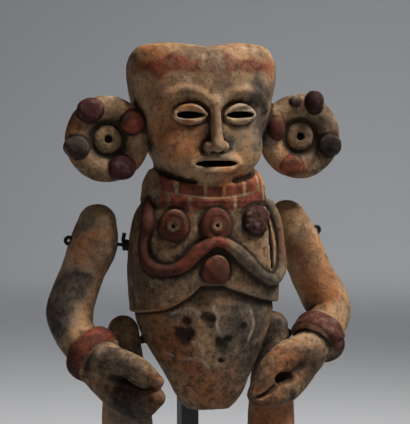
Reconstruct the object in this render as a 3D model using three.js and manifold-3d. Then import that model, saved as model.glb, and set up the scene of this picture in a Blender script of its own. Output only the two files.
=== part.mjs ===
// A jointed figure of fired clay: a hollow body with fixed head, and arms and legs hung on wires.
// It is held by a painted steel rod on a foot plate. Millimetres, +Z up.
// The body is one fired piece, parted here at the neck and round the ear flares.
// The figure faces -Y, and its own right side is at -X.
// The origin is the middle of the foot plate's underside.

import * as THREE from 'three';
import { mergeVertices } from 'three/addons/utils/BufferGeometryUtils.js';
import Module from 'manifold-3d';

const wasm = await Module();
wasm.setup();

// Driving dimensions of the body
const BODY_BOTTOM = 87.5;
const HEAD_TOP = 288;
const CHIN = 209.5;
const CHEST_CENTRE_Y = -1.6;
const HEAD_CENTRE_X = -0.6;
const HEAD_CENTRE_Y = 2;
const SECTION_POWER = 2.3; // superellipse power of the torso's level sections
const HEAD_POWER = 2.5;

// Level sections from the lowest point up: half width, half depth, height
const TORSO = [
  [0, 0, BODY_BOTTOM], [11, 8, 87.9], [17.6, 13, 94.6], [23.7, 18.5, 107.2], [30.2, 22, 119.3],
  [36.4, 24.5, 133], [38.4, 25, 141], [36, 23, 160], [33, 21, 190], [31.4, 20.6, 203],
  [29.2, 20, 211], [27.6, 19.4, 219], [27.2, 19, 230], [0, 0, 236],
];
const GARMENT = [
  [0, 0, 134], [40.6, 26, 135.5], [41.4, 26.6, 145], [42.2, 26.8, 155], [42.6, 26.8, 167],
  [41.3, 26.4, 181], [39.6, 25.6, 190], [37, 24.4, 198], [34.2, 23, 204.4], [0, 0, 205.6],
];
const HEAD = [
  [0, 0, CHIN], [13, 13, 210.6], [21, 19.5, 215], [26.5, 23.2, 222.5], [31, 25.4, 232],
  [35.4, 26.8, 243], [38.6, 27.4, 256], [41, 27.4, 269], [40.6, 26.6, 277.5], [36, 23, 285],
  [24, 15, HEAD_TOP], [0, 0, HEAD_TOP],
];
const LEAN = { x: 1.5, y: -4, from: 138, over: 45 }; // the lower torso leans forward and to its left
const CROWN_DIP = { depth: 2.4, width: 12, from: 276, over: 12 };
const JAW_FORWARD = { y: -7, over: 28 };
const NECK = 217; // height at which the body is parted into torso and head

// The garment's hem across the front, as x and height, from the figure's right side to its left
const HEM = [
  [-41, 141.5], [-27.5, 144], [-20.7, 147.5], [-14.4, 151.8], [-8.9, 157], [3.5, 157],
  [9.2, 154.6], [17.2, 151.8], [25.4, 149], [34, 147], [41, 145.5],
];

// Two collar bands: height at the sides, dip at the front, half height, how far it stands out, and its size
const COLLAR = [
  { side: 213.4, dip: 5.2, half: 3.6, proud: 2.3, halfWidth: 28.8, halfDepth: 20.2 },
  { side: 205, dip: 3.4, half: 3.9, proud: 2.5, halfWidth: 31.8, halfDepth: 21.6 },
];

// The rope band's middle line on the chest, as x and height
const ROPE_RADIUS = 3.2;
const ROPE = [
  [-31, 203], [-35.5, 194], [-38, 182], [-38, 171], [-34, 164], [-26, 162.5], [-18.5, 166], [-11, 175],
  [-1, 180.5], [8, 177], [17, 169], [26, 161.5], [34, 158.5], [39.4, 165], [39.6, 178], [37, 191],
  [31.5, 202],
];

// Pellets on the chest: x, height, radius, and the radius of the hole pressed in the middle
const CHEST_PELLETS = [
  { x: -23, z: 189.5, radius: 8.4, hole: 2 },
  { x: -0.6, z: 189.5, radius: 9, hole: 2 },
  { x: 23, z: 192, radius: 8, hole: 0 },
  { x: -1, z: 165.5, radius: 8, hole: 0 },
];
const PELLET_HEIGHT = 0.65; // of the radius

// The face: eye line at mid head, nose base half-way to the chin, mouth a third below that
const EYE_Z = (HEAD_TOP + CHIN) / 2;
const NOSE_Z = (EYE_Z + CHIN) / 2;
const MOUTH_Z = NOSE_Z - (NOSE_Z - CHIN) / 3;
const EYE_WIDTH = 14;
const EYE_OPENING = 3.6;
const MOUTH_WIDTH = 23;
const MOUTH_OPENING = 3.4;
const NOSE = { width: 13.5, proud: 7.5, top: EYE_Z + 7, ridgeRadii: [2.6, 3.2, 4], wingHeight: 3.2 };
const BROW = { radius: 2.4, z: EYE_Z + 9, line: [[2, -1], [8, 3], [16, 4.4], [24, 1.4], [30, -5]] };
const LIDS = { width: 18.5, height: 9.4, proud: 2.6 };
const LIPS = { width: 27, height: 9.4, proud: 3 };
const SLOT_DEPTH = 15;

// Ear flares: a fat ring round a pierced boss, with pellets on the ring
const FLARE = { x: 54.6, y: -3, radius: 23.4, pelletsOut: 4.4 };
const FLARE_SECTION = [
  [0, -3.5], [2.4, 2.6], [5.4, 2.6], [8, -2.2], [11, -2.2], [13.2, 3.4],
  [17.4, 5.7], [21.6, 4.2], [FLARE.radius, -0.4], [20.8, -4.6], [0, -7],
];
// Pellets of each flare: angle from +X in degrees, distance from the middle, radius
const RIGHT_FLARE_PELLETS = [[119, 18.3, 6.9], [31, 17.7, 6.4], [194, 17.2, 6.6], [300, 18, 7]];
const LEFT_FLARE_PELLETS = [
  [160, 15.4, 5.6], [97, 19.4, 3.4], [64, 20, 5.4], [346, 18.6, 6.7], [257, 17.2, 6.2],
];
const FLARE_HEIGHTS = { right: 235.7, left: 236.8 };

// Limbs as middle-line points with a radius: x, y, z, radius
const RIGHT_ARM = [
  [-57.2, 10, 189.4, 10.6], [-59.2, 10.5, 178, 13.2], [-64.5, 11.5, 164.5, 12], [-69.5, 12, 151.5, 12.4],
  [-72.5, 11, 141, 13], [-71.8, 5, 131.5, 11.4], [-66, -6.5, 121.5, 11.4],
];
const LEFT_ARM = [
  [52.4, 12, 190.2, 10.6], [58.2, 12, 178, 12.6], [63.5, 12, 167.5, 12], [68.2, 12, 157, 12],
  [73.6, 11, 147, 12.8], [76.2, 7.5, 138.5, 12.2], [65, -4, 123, 11.2],
];
// Hands: wrist, palm and fingertip points with radii, flattened across the palm
const RIGHT_HAND = [
  [-66, -6.5, 121.5, 10.8], [-57, -18, 115, 12.8], [-46.5, -31, 106.4, 15.8], [-37, -44, 107, 6.4],
];
const LEFT_HAND = [
  [65, -4, 123, 10.6], [53, -11, 115, 12.6], [38.5, -20, 106.2, 15], [22.5, -27.5, 101.4, 6],
];
const HAND_FLATNESS = 0.78;
const GRIP = { length: 25, opening: 3.8 };
const BRACELET = { radius: 11.6, half: 5, proud: 3.4 };

const RIGHT_LEG = [
  [-42.4, 11.5, 129.8, 8.5], [-42.2, 11, 118, 10], [-41.6, 9.5, 100, 12.4], [-41, 8.5, 80, 13.8],
  [-40.6, 7, 66, 13.6], [-40.6, 8, 48, 11.6], [-40.8, 9, 30, 9.6], [-41, 9, 21, 9.2],
];
const LEFT_LEG = [
  [44.4, 12, 129.8, 8.5], [44, 11.5, 118, 10], [43, 9.5, 100, 12], [42.2, 8.5, 80, 13],
  [41.6, 7, 66, 13.2], [41.2, 8, 48, 11.4], [41, 9, 30, 9.6], [41, 9, 21, 9.2],
];
// The foot's middle line: how far forward, height over the sole, radius
const FOOT = [[8, 8, 9.6], [-4, 6.6, 9.2], [-20, 5, 7.5]];
const TOES_OUT = 1.03; // how much further from the middle the toes are than the heel
const ANKLET = { z: 33, radius: 9.8, half: 3.6, proud: 2.6 };

// Wires: straight through the limb's top, with a loop outside and the twisted end inside
const WIRE_RADIUS = 1.1;
const TWIST_RADIUS = 2.2;
const WIRE_HOLE = 1.7;
const TWIST_HOLE = 2.9;
const SHOULDER_WIRES = {
  right: { inner: [-36, 5, 177], outer: [-75.4, 11, 180.4], limbFace: -45.6 },
  left: { inner: [35, 7, 180.5], outer: [72.2, 11.5, 184], limbFace: 45.2 },
};
const HIP_WIRES = {
  right: { inner: [-26, 11, 125.5], outer: [-53.8, 11.4, 125.5], limbFace: -33.4 },
  left: { inner: [26, 11, 125.5], outer: [55.8, 11.8, 125.5], limbFace: 35.2 },
};
const WIRE_LOOP = 2.2; // radius of the wire's round end, which lies flat against the limb
const TWIST_SHORT = 1.2; // the twisted part ends this far before the limb

// The stand
const PLATE = { width: 150, depth: 104, thick: 12, edge: 0.8 };
const ROD = { side: 10, y: 31.8, top: 176 };
const PEG = { radius: 3, z: 166, tip: 16 };
const VENT = { radius: 4.4, bottom: 14 };
const GAP = 0.3;

const CLAY = { color: 0xa5876b, roughness: 0.86, metalness: 0 };
const IRON = { color: 0x2b2826, roughness: 0.6, metalness: 0.7 };
const BLACK_PAINT = { color: 0x15161a, roughness: 0.45, metalness: 0 };

// Joining and cutting
function solid(geometry) {
  const bare = geometry.clone();
  bare.deleteAttribute('normal');
  bare.deleteAttribute('uv');
  const merged = mergeVertices(bare, 1e-4);
  return new wasm.Manifold(new wasm.Mesh({
    numProp: 3,
    vertProperties: new Float32Array(merged.attributes.position.array),
    triVerts: new Uint32Array(merged.index.array),
  }));
}

function joined(solids) {
  return solids.reduce((whole, next) => whole.add(next));
}

function piece(name, body, finish) {
  const { vertProperties, triVerts } = body.getMesh();
  const geometry = new THREE.BufferGeometry();
  geometry.setAttribute('position', new THREE.BufferAttribute(new Float32Array(vertProperties), 3));
  geometry.setIndex(new THREE.BufferAttribute(new Uint32Array(triVerts), 1));
  geometry.computeVertexNormals();
  const mesh = new THREE.Mesh(geometry, new THREE.MeshStandardMaterial(finish));
  mesh.name = name;
  return mesh;
}

// A sphere's points, each moved to place(angle, rise): angle runs round, rise from 0 at one pole to 1
function reshaped(sides, rows, place) {
  const geometry = new THREE.SphereGeometry(1, sides, rows);
  const { position, uv } = geometry.attributes;
  for (let i = 0; i < position.count; i++) {
    const row = Math.round(uv.getY(i) * rows);
    const atPole = row === 0 || row === rows;
    const angle = atPole ? 0 : (uv.getX(i) % 1 + 0.5) * 2 * Math.PI;
    const point = place(angle, row / rows);
    position.setXYZ(i, point.x, point.y, point.z);
  }
  return geometry;
}

function smooth(value) {
  const t = THREE.MathUtils.clamp(value, 0, 1);
  return t * t * (3 - 2 * t);
}

// A level superellipse section at an angle
function sectionPoint(halfWidth, halfDepth, power, angle) {
  const bend = (value) => Math.sign(value) * Math.abs(value) ** (2 / power);
  return [halfWidth * bend(Math.cos(angle)), halfDepth * bend(Math.sin(angle))];
}

function stationCurve(stations) {
  const points = stations.map(([x, y, z]) => new THREE.Vector3(x, y, z));
  return new THREE.CatmullRomCurve3(points, false, 'centripetal');
}

// A closed form of level sections, whose middle at each height is centre(z)
function stacked(stations, sides, rows, power, centre) {
  const curve = stationCurve(stations);
  return reshaped(sides, rows, (angle, rise) => {
    const { x: halfWidth, y: halfDepth, z } = curve.getPointAt(rise);
    const [x, y] = sectionPoint(Math.max(halfWidth, 0), Math.max(halfDepth, 0), power, angle);
    const middle = centre(z);
    return new THREE.Vector3(x + middle.x, y + middle.y, z);
  });
}

// A function that gives a stacked form's half width and half depth, as x and y, at a height
function girth(stations) {
  const points = stationCurve(stations).getSpacedPoints(160);
  return (z) => {
    const above = THREE.MathUtils.clamp(points.findIndex((p) => p.z >= z), 1, points.length - 1);
    const below = points[above - 1];
    const share = THREE.MathUtils.clamp((z - below.z) / Math.max(points[above].z - below.z, 1e-6), 0, 1);
    return below.clone().lerp(points[above], share);
  };
}

const garmentGirth = girth(GARMENT);
const headGirth = girth(HEAD);

function torsoCentre(z) {
  const lean = smooth((LEAN.from - z) / LEAN.over);
  return new THREE.Vector2(LEAN.x * lean, CHEST_CENTRE_Y + LEAN.y * lean);
}

function headCentre(z) {
  const jaw = smooth((CHIN + JAW_FORWARD.over - z) / JAW_FORWARD.over);
  return new THREE.Vector2(HEAD_CENTRE_X, HEAD_CENTRE_Y + JAW_FORWARD.y * jaw);
}

// The point of a form's front at x and z, and the direction that it faces
function frontPoint(girthAt, power, centre, x, z) {
  const { x: a, y: b } = girthAt(z);
  const middle = centre(z);
  const across = THREE.MathUtils.clamp((x - middle.x) / a, -0.985, 0.985);
  const depth = (1 - Math.abs(across) ** power) ** (1 / power);
  const facing = new THREE.Vector3(
    Math.sign(across) * Math.abs(across) ** (power - 1) / a,
    -(depth ** (power - 1)) / b,
    0,
  ).normalize();
  return { point: new THREE.Vector3(middle.x + across * a, middle.y - depth * b, z), facing };
}

const onGarment = (x, z) => frontPoint(garmentGirth, SECTION_POWER, torsoCentre, x, z);
const onFace = (x, z) => frontPoint(headGirth, HEAD_POWER, headCentre, x, z);

// A limb along points that carry a radius, with round ends, flattened across one direction
function limb(stations, sides, rows, flat = null) {
  const caps = Math.max(2, Math.round(rows / 7));
  const steps = rows - 2 * caps;
  const curve = stationCurve(stations);
  const sizes = stationCurve(stations.map(([, , , radius], i) => [radius, i, 0]));
  const frames = curve.computeFrenetFrames(steps);
  const lengths = curve.getLengths(200);
  return reshaped(sides, rows, (angle, rise) => {
    const row = Math.round(rise * rows);
    const step = THREE.MathUtils.clamp(row - caps, 0, steps);
    const u = step / steps;
    const t = curve.getUtoTmapping(u, u * lengths[lengths.length - 1]);
    const centre = curve.getPointAt(u);
    let radius = sizes.getPoint(t).x;
    const beyond = row < caps ? caps - row : Math.max(row - caps - steps, 0);
    if (beyond > 0) {
      const tilt = (beyond / caps) * Math.PI / 2;
      const way = row < caps ? -1 : 1;
      centre.addScaledVector(frames.tangents[step], way * radius * Math.sin(tilt));
      radius *= Math.cos(tilt);
    }
    const out = frames.normals[step].clone().multiplyScalar(Math.cos(angle))
      .addScaledVector(frames.binormals[step], Math.sin(angle)).multiplyScalar(radius);
    if (flat) out.addScaledVector(flat.across, (flat.by - 1) * out.dot(flat.across));
    return centre.add(out);
  });
}

// A tube of one radius along points
function tube(points, radius, sides, rows) {
  return limb(points.map((p) => [p.x, p.y, p.z, radius]), sides, rows);
}

function rod(from, to, radius, sides) {
  const start = new THREE.Vector3(...from);
  const end = new THREE.Vector3(...to);
  const geometry = new THREE.CylinderGeometry(radius, radius, start.distanceTo(end), sides);
  const way = end.clone().sub(start).normalize();
  geometry.applyQuaternion(new THREE.Quaternion().setFromUnitVectors(new THREE.Vector3(0, 1, 0), way));
  geometry.translate(...start.add(end).multiplyScalar(0.5).toArray());
  return solid(geometry);
}

// A ring round an axis, of an oval section: half its height along the axis, and proud outwards
function band(centre, axis, radius, half, proud, tubeSides, ringSides) {
  const geometry = new THREE.TorusGeometry(radius, 1, tubeSides, ringSides);
  const { position } = geometry.attributes;
  for (let i = 0; i < position.count; i++) {
    const p = new THREE.Vector3().fromBufferAttribute(position, i);
    const round = Math.hypot(p.x, p.y);
    const grow = (radius + (round - radius) * proud) / round;
    position.setXYZ(i, p.x * grow, p.y * grow, p.z * half);
  }
  geometry.applyQuaternion(new THREE.Quaternion().setFromUnitVectors(new THREE.Vector3(0, 0, 1), axis));
  geometry.translate(centre.x, centre.y, centre.z);
  return solid(geometry);
}

// A flattened ball lying on a surface, with a hole in its middle where one was pressed
function pellet({ point, facing }, radius, hole, sides) {
  const geometry = new THREE.SphereGeometry(radius, sides, 4);
  geometry.rotateX(Math.PI / 2);
  geometry.scale(1, 1, PELLET_HEIGHT);
  geometry.applyQuaternion(new THREE.Quaternion().setFromUnitVectors(new THREE.Vector3(0, 0, 1), facing));
  geometry.translate(point.x, point.y, point.z);
  const ball = solid(geometry);
  if (!hole) return ball;
  const top = point.clone().addScaledVector(facing, radius);
  const bottom = point.clone().addScaledVector(facing, radius * 0.2);
  return ball.subtract(rod(bottom.toArray(), top.toArray(), hole, 8));
}

// The body's parts
function garment() {
  const form = solid(stacked(GARMENT, 22, 11, SECTION_POWER, torsoCentre));
  const low = 120;
  const reach = 60;
  const front = new THREE.Shape([
    new THREE.Vector2(-reach, low), new THREE.Vector2(reach, low), new THREE.Vector2(reach, HEM.at(-1)[1]),
    ...HEM.toReversed().map(([x, z]) => new THREE.Vector2(x, z)), new THREE.Vector2(-reach, HEM[0][1]),
  ]);
  const back = new THREE.Shape([
    new THREE.Vector2(-reach, low), new THREE.Vector2(reach, low),
    new THREE.Vector2(reach, HEM.at(-1)[1]), new THREE.Vector2(-reach, HEM[0][1]),
  ]);
  const cutter = (shape, from) => {
    const geometry = new THREE.ExtrudeGeometry(shape, { depth: reach, bevelEnabled: false });
    geometry.rotateX(Math.PI / 2);
    geometry.translate(0, from, 0);
    return solid(geometry);
  };
  return form.subtract(cutter(front, 0)).subtract(cutter(back, reach));
}

function collarBand({ side, dip, half, proud, halfWidth, halfDepth }) {
  const unit = 10;
  const geometry = new THREE.TorusGeometry(unit, 1, 4, 22);
  const { position } = geometry.attributes;
  for (let i = 0; i < position.count; i++) {
    const p = new THREE.Vector3().fromBufferAttribute(position, i);
    const angle = Math.atan2(p.y, p.x);
    const z = side - dip * Math.max(0, -Math.sin(angle)) ** 1.5;
    const out = (Math.hypot(p.x, p.y) - unit) * proud;
    const [x, y] = sectionPoint(halfWidth + out, halfDepth + out, SECTION_POWER, angle);
    const middle = torsoCentre(z);
    position.setXYZ(i, x + middle.x, y + middle.y, z + p.z * half);
  }
  return solid(geometry);
}

function rope() {
  const points = ROPE.map(([x, z]) => onGarment(x, z).point);
  return solid(tube(points, ROPE_RADIUS, 5, 28));
}

function flare(side, height, pellets) {
  const profile = FLARE_SECTION.map(([r, out]) => new THREE.Vector2(r, out)).reverse();
  const geometry = new THREE.LatheGeometry(profile, 15);
  geometry.rotateX(Math.PI);
  geometry.translate(side * FLARE.x, FLARE.y, height);
  const balls = pellets.map(([degrees, distance, radius]) => {
    const angle = THREE.MathUtils.degToRad(degrees);
    const point = new THREE.Vector3(
      side * FLARE.x + distance * Math.cos(angle),
      FLARE.y - FLARE.pelletsOut,
      height + distance * Math.sin(angle),
    );
    return pellet({ point, facing: new THREE.Vector3(0, -1, 0) }, radius, 0, 7);
  });
  return joined([solid(geometry), ...balls]);
}

// An almond slot cut straight back into the hollow behind the face
function slot(x, z, width, opening) {
  const { point } = onFace(x, z);
  const geometry = new THREE.SphereGeometry(1, 8, 4);
  geometry.scale(width / 2, SLOT_DEPTH, opening / 2);
  geometry.translate(x, point.y, z);
  return solid(geometry);
}

// The raised almond of the lids or lips, which a slot then parts
function almond(x, z, { width, height, proud }) {
  const { point } = onFace(x, z);
  const geometry = new THREE.SphereGeometry(1, 12, 6);
  geometry.scale(width / 2, proud, height / 2);
  geometry.translate(x, point.y, z);
  return solid(geometry);
}

function brow(side) {
  const points = BROW.line.map(([x, rise]) => onFace(side * x, BROW.z + rise).point);
  return solid(tube(points, BROW.radius, 4, 8));
}

function nose() {
  const base = onFace(0, NOSE_Z).point.y;
  const bridge = onFace(0, NOSE.top).point.y;
  const [topRadius, middleRadius, tipRadius] = NOSE.ridgeRadii;
  const ridge = [
    [0, bridge + 0.5, NOSE.top, topRadius],
    [0, base - NOSE.proud * 0.45, (NOSE.top + NOSE_Z) / 2, middleRadius],
    [0, base - NOSE.proud * 0.62, NOSE_Z + 3.4, tipRadius],
  ];
  const wing = (side) => {
    const geometry = new THREE.SphereGeometry(1, 8, 4);
    geometry.scale(NOSE.width / 4, NOSE.proud * 0.62, NOSE.wingHeight);
    geometry.translate(side * NOSE.width / 4, base, NOSE_Z + NOSE.wingHeight * 0.8);
    return solid(geometry);
  };
  return [solid(limb(ridge, 6, 7)), wing(-1), wing(1)];
}

function head() {
  const form = stacked(HEAD, 22, 13, HEAD_POWER, headCentre);
  const { position } = form.attributes;
  for (let i = 0; i < position.count; i++) {
    const dip = CROWN_DIP.depth * Math.exp(-((position.getX(i) / CROWN_DIP.width) ** 2));
    position.setZ(i, position.getZ(i) - dip * smooth((position.getZ(i) - CROWN_DIP.from) / CROWN_DIP.over));
  }
  const whole = joined([
    solid(form), brow(-1), brow(1), ...nose(),
    almond(-EYE_WIDTH, EYE_Z, LIDS), almond(EYE_WIDTH, EYE_Z, LIDS), almond(0, MOUTH_Z, LIPS),
  ]);
  return whole
    .subtract(slot(-EYE_WIDTH, EYE_Z, EYE_WIDTH, EYE_OPENING))
    .subtract(slot(EYE_WIDTH, EYE_Z, EYE_WIDTH, EYE_OPENING))
    .subtract(slot(0, MOUTH_Z, MOUTH_WIDTH, MOUTH_OPENING));
}

// The limb's face is where the wire comes out of the limb towards the body
function wireLine({ inner, outer, limbFace }) {
  const a = new THREE.Vector3(...inner);
  const b = new THREE.Vector3(...outer);
  const face = a.clone().lerp(b, (limbFace - a.x) / (b.x - a.x));
  return { a, b, face };
}

function twistHole(wire) {
  const { a, face } = wireLine(wire);
  const bottom = a.clone().addScaledVector(face.clone().sub(a).normalize(), -2 * GAP);
  return rod(bottom.toArray(), face.toArray(), TWIST_HOLE, 8);
}

function wireHole(wire) {
  const { a, b } = wireLine(wire);
  const way = b.clone().sub(a).normalize();
  const past = b.clone().addScaledVector(way, 4 * WIRE_LOOP);
  return rod(a.toArray(), past.toArray(), WIRE_HOLE, 8);
}

function wirePiece(name, wire) {
  const { a, b, face } = wireLine(wire);
  const shaft = rod(a.toArray(), b.toArray(), WIRE_RADIUS, 5);
  const twistEnd = face.clone().addScaledVector(b.clone().sub(a).normalize(), -TWIST_SHORT);
  const twist = rod(a.toArray(), twistEnd.toArray(), TWIST_RADIUS, 5);
  const loop = new THREE.TorusGeometry(WIRE_LOOP, WIRE_RADIUS, 4, 6);
  loop.rotateY(Math.PI / 2);
  loop.translate(b.x, b.y, b.z + WIRE_LOOP);
  return piece(name, joined([shaft, twist, solid(loop)]), IRON);
}

// The body's pieces meet face to face: torso and head at a level plane, the ear flares round the head's sides
function bodyPieces() {
  const form = joined([
    solid(stacked(TORSO, 22, 16, SECTION_POWER, torsoCentre)),
    garment(), ...COLLAR.map(collarBand), rope(),
    ...CHEST_PELLETS.map(({ x, z, radius, hole }) => pellet(onGarment(x, z), radius, hole, 9)),
    head(),
  ]);
  const rightFlare = flare(-1, FLARE_HEIGHTS.right, RIGHT_FLARE_PELLETS).subtract(form);
  const leftFlare = flare(1, FLARE_HEIGHTS.left, LEFT_FLARE_PELLETS).subtract(form);
  const vent = rod([0, VENT.bottom, PEG.z], [0, 40, PEG.z], VENT.radius, 10);
  const holes = [...Object.values(SHOULDER_WIRES), ...Object.values(HIP_WIRES)].map(twistHole);
  const [aboveNeck, belowNeck] = form.splitByPlane([0, 0, 1], NECK);
  return [
    piece('torso', [vent, ...holes].reduce((rest, hole) => rest.subtract(hole), belowNeck), CLAY),
    piece('head', aboveNeck, CLAY),
    piece('right_ear_flare', rightFlare, CLAY),
    piece('left_ear_flare', leftFlare, CLAY),
  ];
}

function armPiece(name, arm, hand, wire) {
  const wrist = new THREE.Vector3(...arm.at(-1));
  const forearm = new THREE.Vector3(...hand[2]).sub(new THREE.Vector3(...arm.at(-2))).normalize();
  const along = new THREE.Vector3(...hand[3]).sub(new THREE.Vector3(...hand[0])).normalize();
  const across = new THREE.Vector3(along.y, -along.x, 0).normalize();
  const grip = new THREE.Vector3(...hand[2]).lerp(new THREE.Vector3(...hand[3]), 0.12);
  const lens = new THREE.SphereGeometry(1, 8, 4);
  lens.scale(GRIP.length / 2, 40, GRIP.opening / 2);
  const up = along.clone().cross(across);
  lens.applyMatrix4(new THREE.Matrix4().makeBasis(along, across, up));
  lens.translate(grip.x, grip.y, grip.z);
  const form = joined([
    solid(limb(arm, 10, 14)),
    solid(limb(hand, 10, 9, { across, by: HAND_FLATNESS })),
    band(wrist, forearm, BRACELET.radius, BRACELET.half, BRACELET.proud, 4, 10),
  ]);
  return piece(name, form.subtract(solid(lens)).subtract(wireHole(wire)), CLAY);
}

function legPiece(name, leg, wire) {
  const ankle = leg.at(-1);
  const sole = PLATE.thick + GAP;
  const foot = FOOT.map(([y, rise, radius], i) => {
    const x = i === FOOT.length - 1 ? ankle[0] * TOES_OUT : ankle[0];
    return [x, y, sole + rise, radius];
  });
  const floor = { width: 60, depth: 90, thick: 20 };
  const below = new THREE.BoxGeometry(floor.width, floor.depth, floor.thick)
    .translate(ankle[0], 0, sole - floor.thick / 2);
  const form = joined([
    solid(limb(leg, 10, 11)), solid(limb(foot, 8, 6)),
    band(new THREE.Vector3(ankle[0], ankle[1], ANKLET.z), new THREE.Vector3(0, 0, 1),
      ANKLET.radius, ANKLET.half, ANKLET.proud, 4, 10),
  ]);
  return piece(name, form.subtract(solid(below)).subtract(wireHole(wire)), CLAY);
}

function standRod() {
  const low = PLATE.thick + GAP;
  const bar = new THREE.BoxGeometry(ROD.side, ROD.side, ROD.top - low)
    .translate(0, ROD.y, (ROD.top + low) / 2);
  const peg = rod([0, PEG.tip, PEG.z], [0, ROD.y, PEG.z], PEG.radius, 12);
  return piece('stand_rod', solid(bar).add(peg), BLACK_PAINT);
}

function standFoot() {
  const { width, depth, thick, edge } = PLATE;
  const outline = new THREE.Shape([[-1, -1], [1, -1], [1, 1], [-1, 1]]
    .map(([x, y]) => new THREE.Vector2(x * (width / 2 - edge), y * (depth / 2 - edge))));
  const geometry = new THREE.ExtrudeGeometry(outline, {
    depth: thick - 2 * edge, bevelThickness: edge, bevelSize: edge, bevelSegments: 1,
  });
  geometry.translate(0, 0, edge);
  return piece('stand_foot', solid(geometry), BLACK_PAINT);
}

const figure = new THREE.Group();
figure.add(
  ...bodyPieces(),
  armPiece('right_arm', RIGHT_ARM, RIGHT_HAND, SHOULDER_WIRES.right),
  armPiece('left_arm', LEFT_ARM, LEFT_HAND, SHOULDER_WIRES.left),
  legPiece('right_leg', RIGHT_LEG, HIP_WIRES.right),
  legPiece('left_leg', LEFT_LEG, HIP_WIRES.left),
  wirePiece('right_shoulder_wire', SHOULDER_WIRES.right),
  wirePiece('left_shoulder_wire', SHOULDER_WIRES.left),
  wirePiece('right_hip_wire', HIP_WIRES.right),
  wirePiece('left_hip_wire', HIP_WIRES.left),
  standRod(),
  standFoot(),
);

export default figure;
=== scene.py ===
# A jointed figure of fired clay on its museum stand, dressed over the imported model.
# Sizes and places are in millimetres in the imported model's frame: the figure faces -Y, its right is at -X.

import math

import bpy
import numpy as np
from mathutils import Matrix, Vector


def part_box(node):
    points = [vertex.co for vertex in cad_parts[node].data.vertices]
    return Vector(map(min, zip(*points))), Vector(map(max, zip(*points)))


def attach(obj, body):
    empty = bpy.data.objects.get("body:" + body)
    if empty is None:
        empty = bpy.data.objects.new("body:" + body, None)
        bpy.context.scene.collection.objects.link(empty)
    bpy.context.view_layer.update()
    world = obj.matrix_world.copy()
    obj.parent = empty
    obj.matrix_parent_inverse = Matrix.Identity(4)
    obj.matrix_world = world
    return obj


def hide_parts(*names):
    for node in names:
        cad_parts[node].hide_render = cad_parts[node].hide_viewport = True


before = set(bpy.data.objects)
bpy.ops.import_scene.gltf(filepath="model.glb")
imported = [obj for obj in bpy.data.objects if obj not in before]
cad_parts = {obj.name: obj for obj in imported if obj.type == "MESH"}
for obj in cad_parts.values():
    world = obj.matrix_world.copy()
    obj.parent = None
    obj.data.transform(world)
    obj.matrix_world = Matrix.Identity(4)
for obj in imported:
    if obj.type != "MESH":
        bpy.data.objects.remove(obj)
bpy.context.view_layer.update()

# Camera: a long lens a little towards the figure's right and just above its chest.
# The view's height is what the photograph's 424 rows cover at the figure.
MM = 0.001
VIEW_HEIGHT = 233.2
VIEW_DISTANCE = 1100
VIEW_MIDDLE = Vector((1.15, 0, 195.3))
VIEW_AZIMUTH, VIEW_ELEVATION = math.radians(-16), math.radians(3)
towards_camera = Vector((
    math.sin(VIEW_AZIMUTH) * math.cos(VIEW_ELEVATION),
    -math.cos(VIEW_AZIMUTH) * math.cos(VIEW_ELEVATION),
    math.sin(VIEW_ELEVATION),
))
camera = bpy.data.objects.new("camera", bpy.data.cameras.new("camera"))
bpy.context.scene.collection.objects.link(camera)
camera.data.sensor_width = 36
camera.data.lens = camera.data.sensor_width * VIEW_DISTANCE / VIEW_HEIGHT
camera.location = (VIEW_MIDDLE + VIEW_DISTANCE * towards_camera) * MM
camera.rotation_euler = towards_camera.to_track_quat("Z", "Y").to_euler()
bpy.context.scene.camera = camera

# Body: head, trunk and ear flares, built up by hand over a hollow core in coarse buff clay.
# The face is cut and pressed with a tool; collar, rope and pellets are laid on and smoothed down.
# It was painted in places and fired low and unevenly, which left orange patches and grey clouds.
REACH = 8.0  # how far from the clay its distance is kept
BODY_CELL = 0.7
MOST_TRIANGLES = 190000


def smooth_line(points, steps=10):
    """A smooth curve through the points, with that many steps from each to the next."""
    p = np.array(points, float)
    p = np.vstack([2 * p[0] - p[1], p, 2 * p[-1] - p[-2]])
    knots = np.concatenate([[0], np.cumsum(np.linalg.norm(np.diff(p[:, :3], axis=0), axis=1) ** 0.5)])
    curve = []
    for i in range(1, len(p) - 2):
        ends = 1 if i == len(p) - 3 else 0
        t = np.linspace(knots[i], knots[i + 1], steps + ends, endpoint=bool(ends))[:, None]

        def between(a, b, start, stop):
            return a + (b - a) * (t - knots[start]) / (knots[stop] - knots[start])

        low = between(p[i - 1], p[i], i - 1, i)
        middle = between(p[i], p[i + 1], i, i + 1)
        high = between(p[i + 1], p[i + 2], i + 1, i + 2)
        curve.append(between(between(low, middle, i - 1, i + 1), between(middle, high, i, i + 2), i, i + 1))
    return np.vstack(curve)


def soft_min(a, b, soft):
    """The lower of two distances, rounded where they meet."""
    share = np.clip(0.5 + 0.5 * (b - a) / soft, 0, 1)
    return b + (a - b) * share - soft * share * (1 - share)


def ease(value):
    t = np.clip(value, 0, 1)
    return t * t * (3 - 2 * t)


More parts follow.
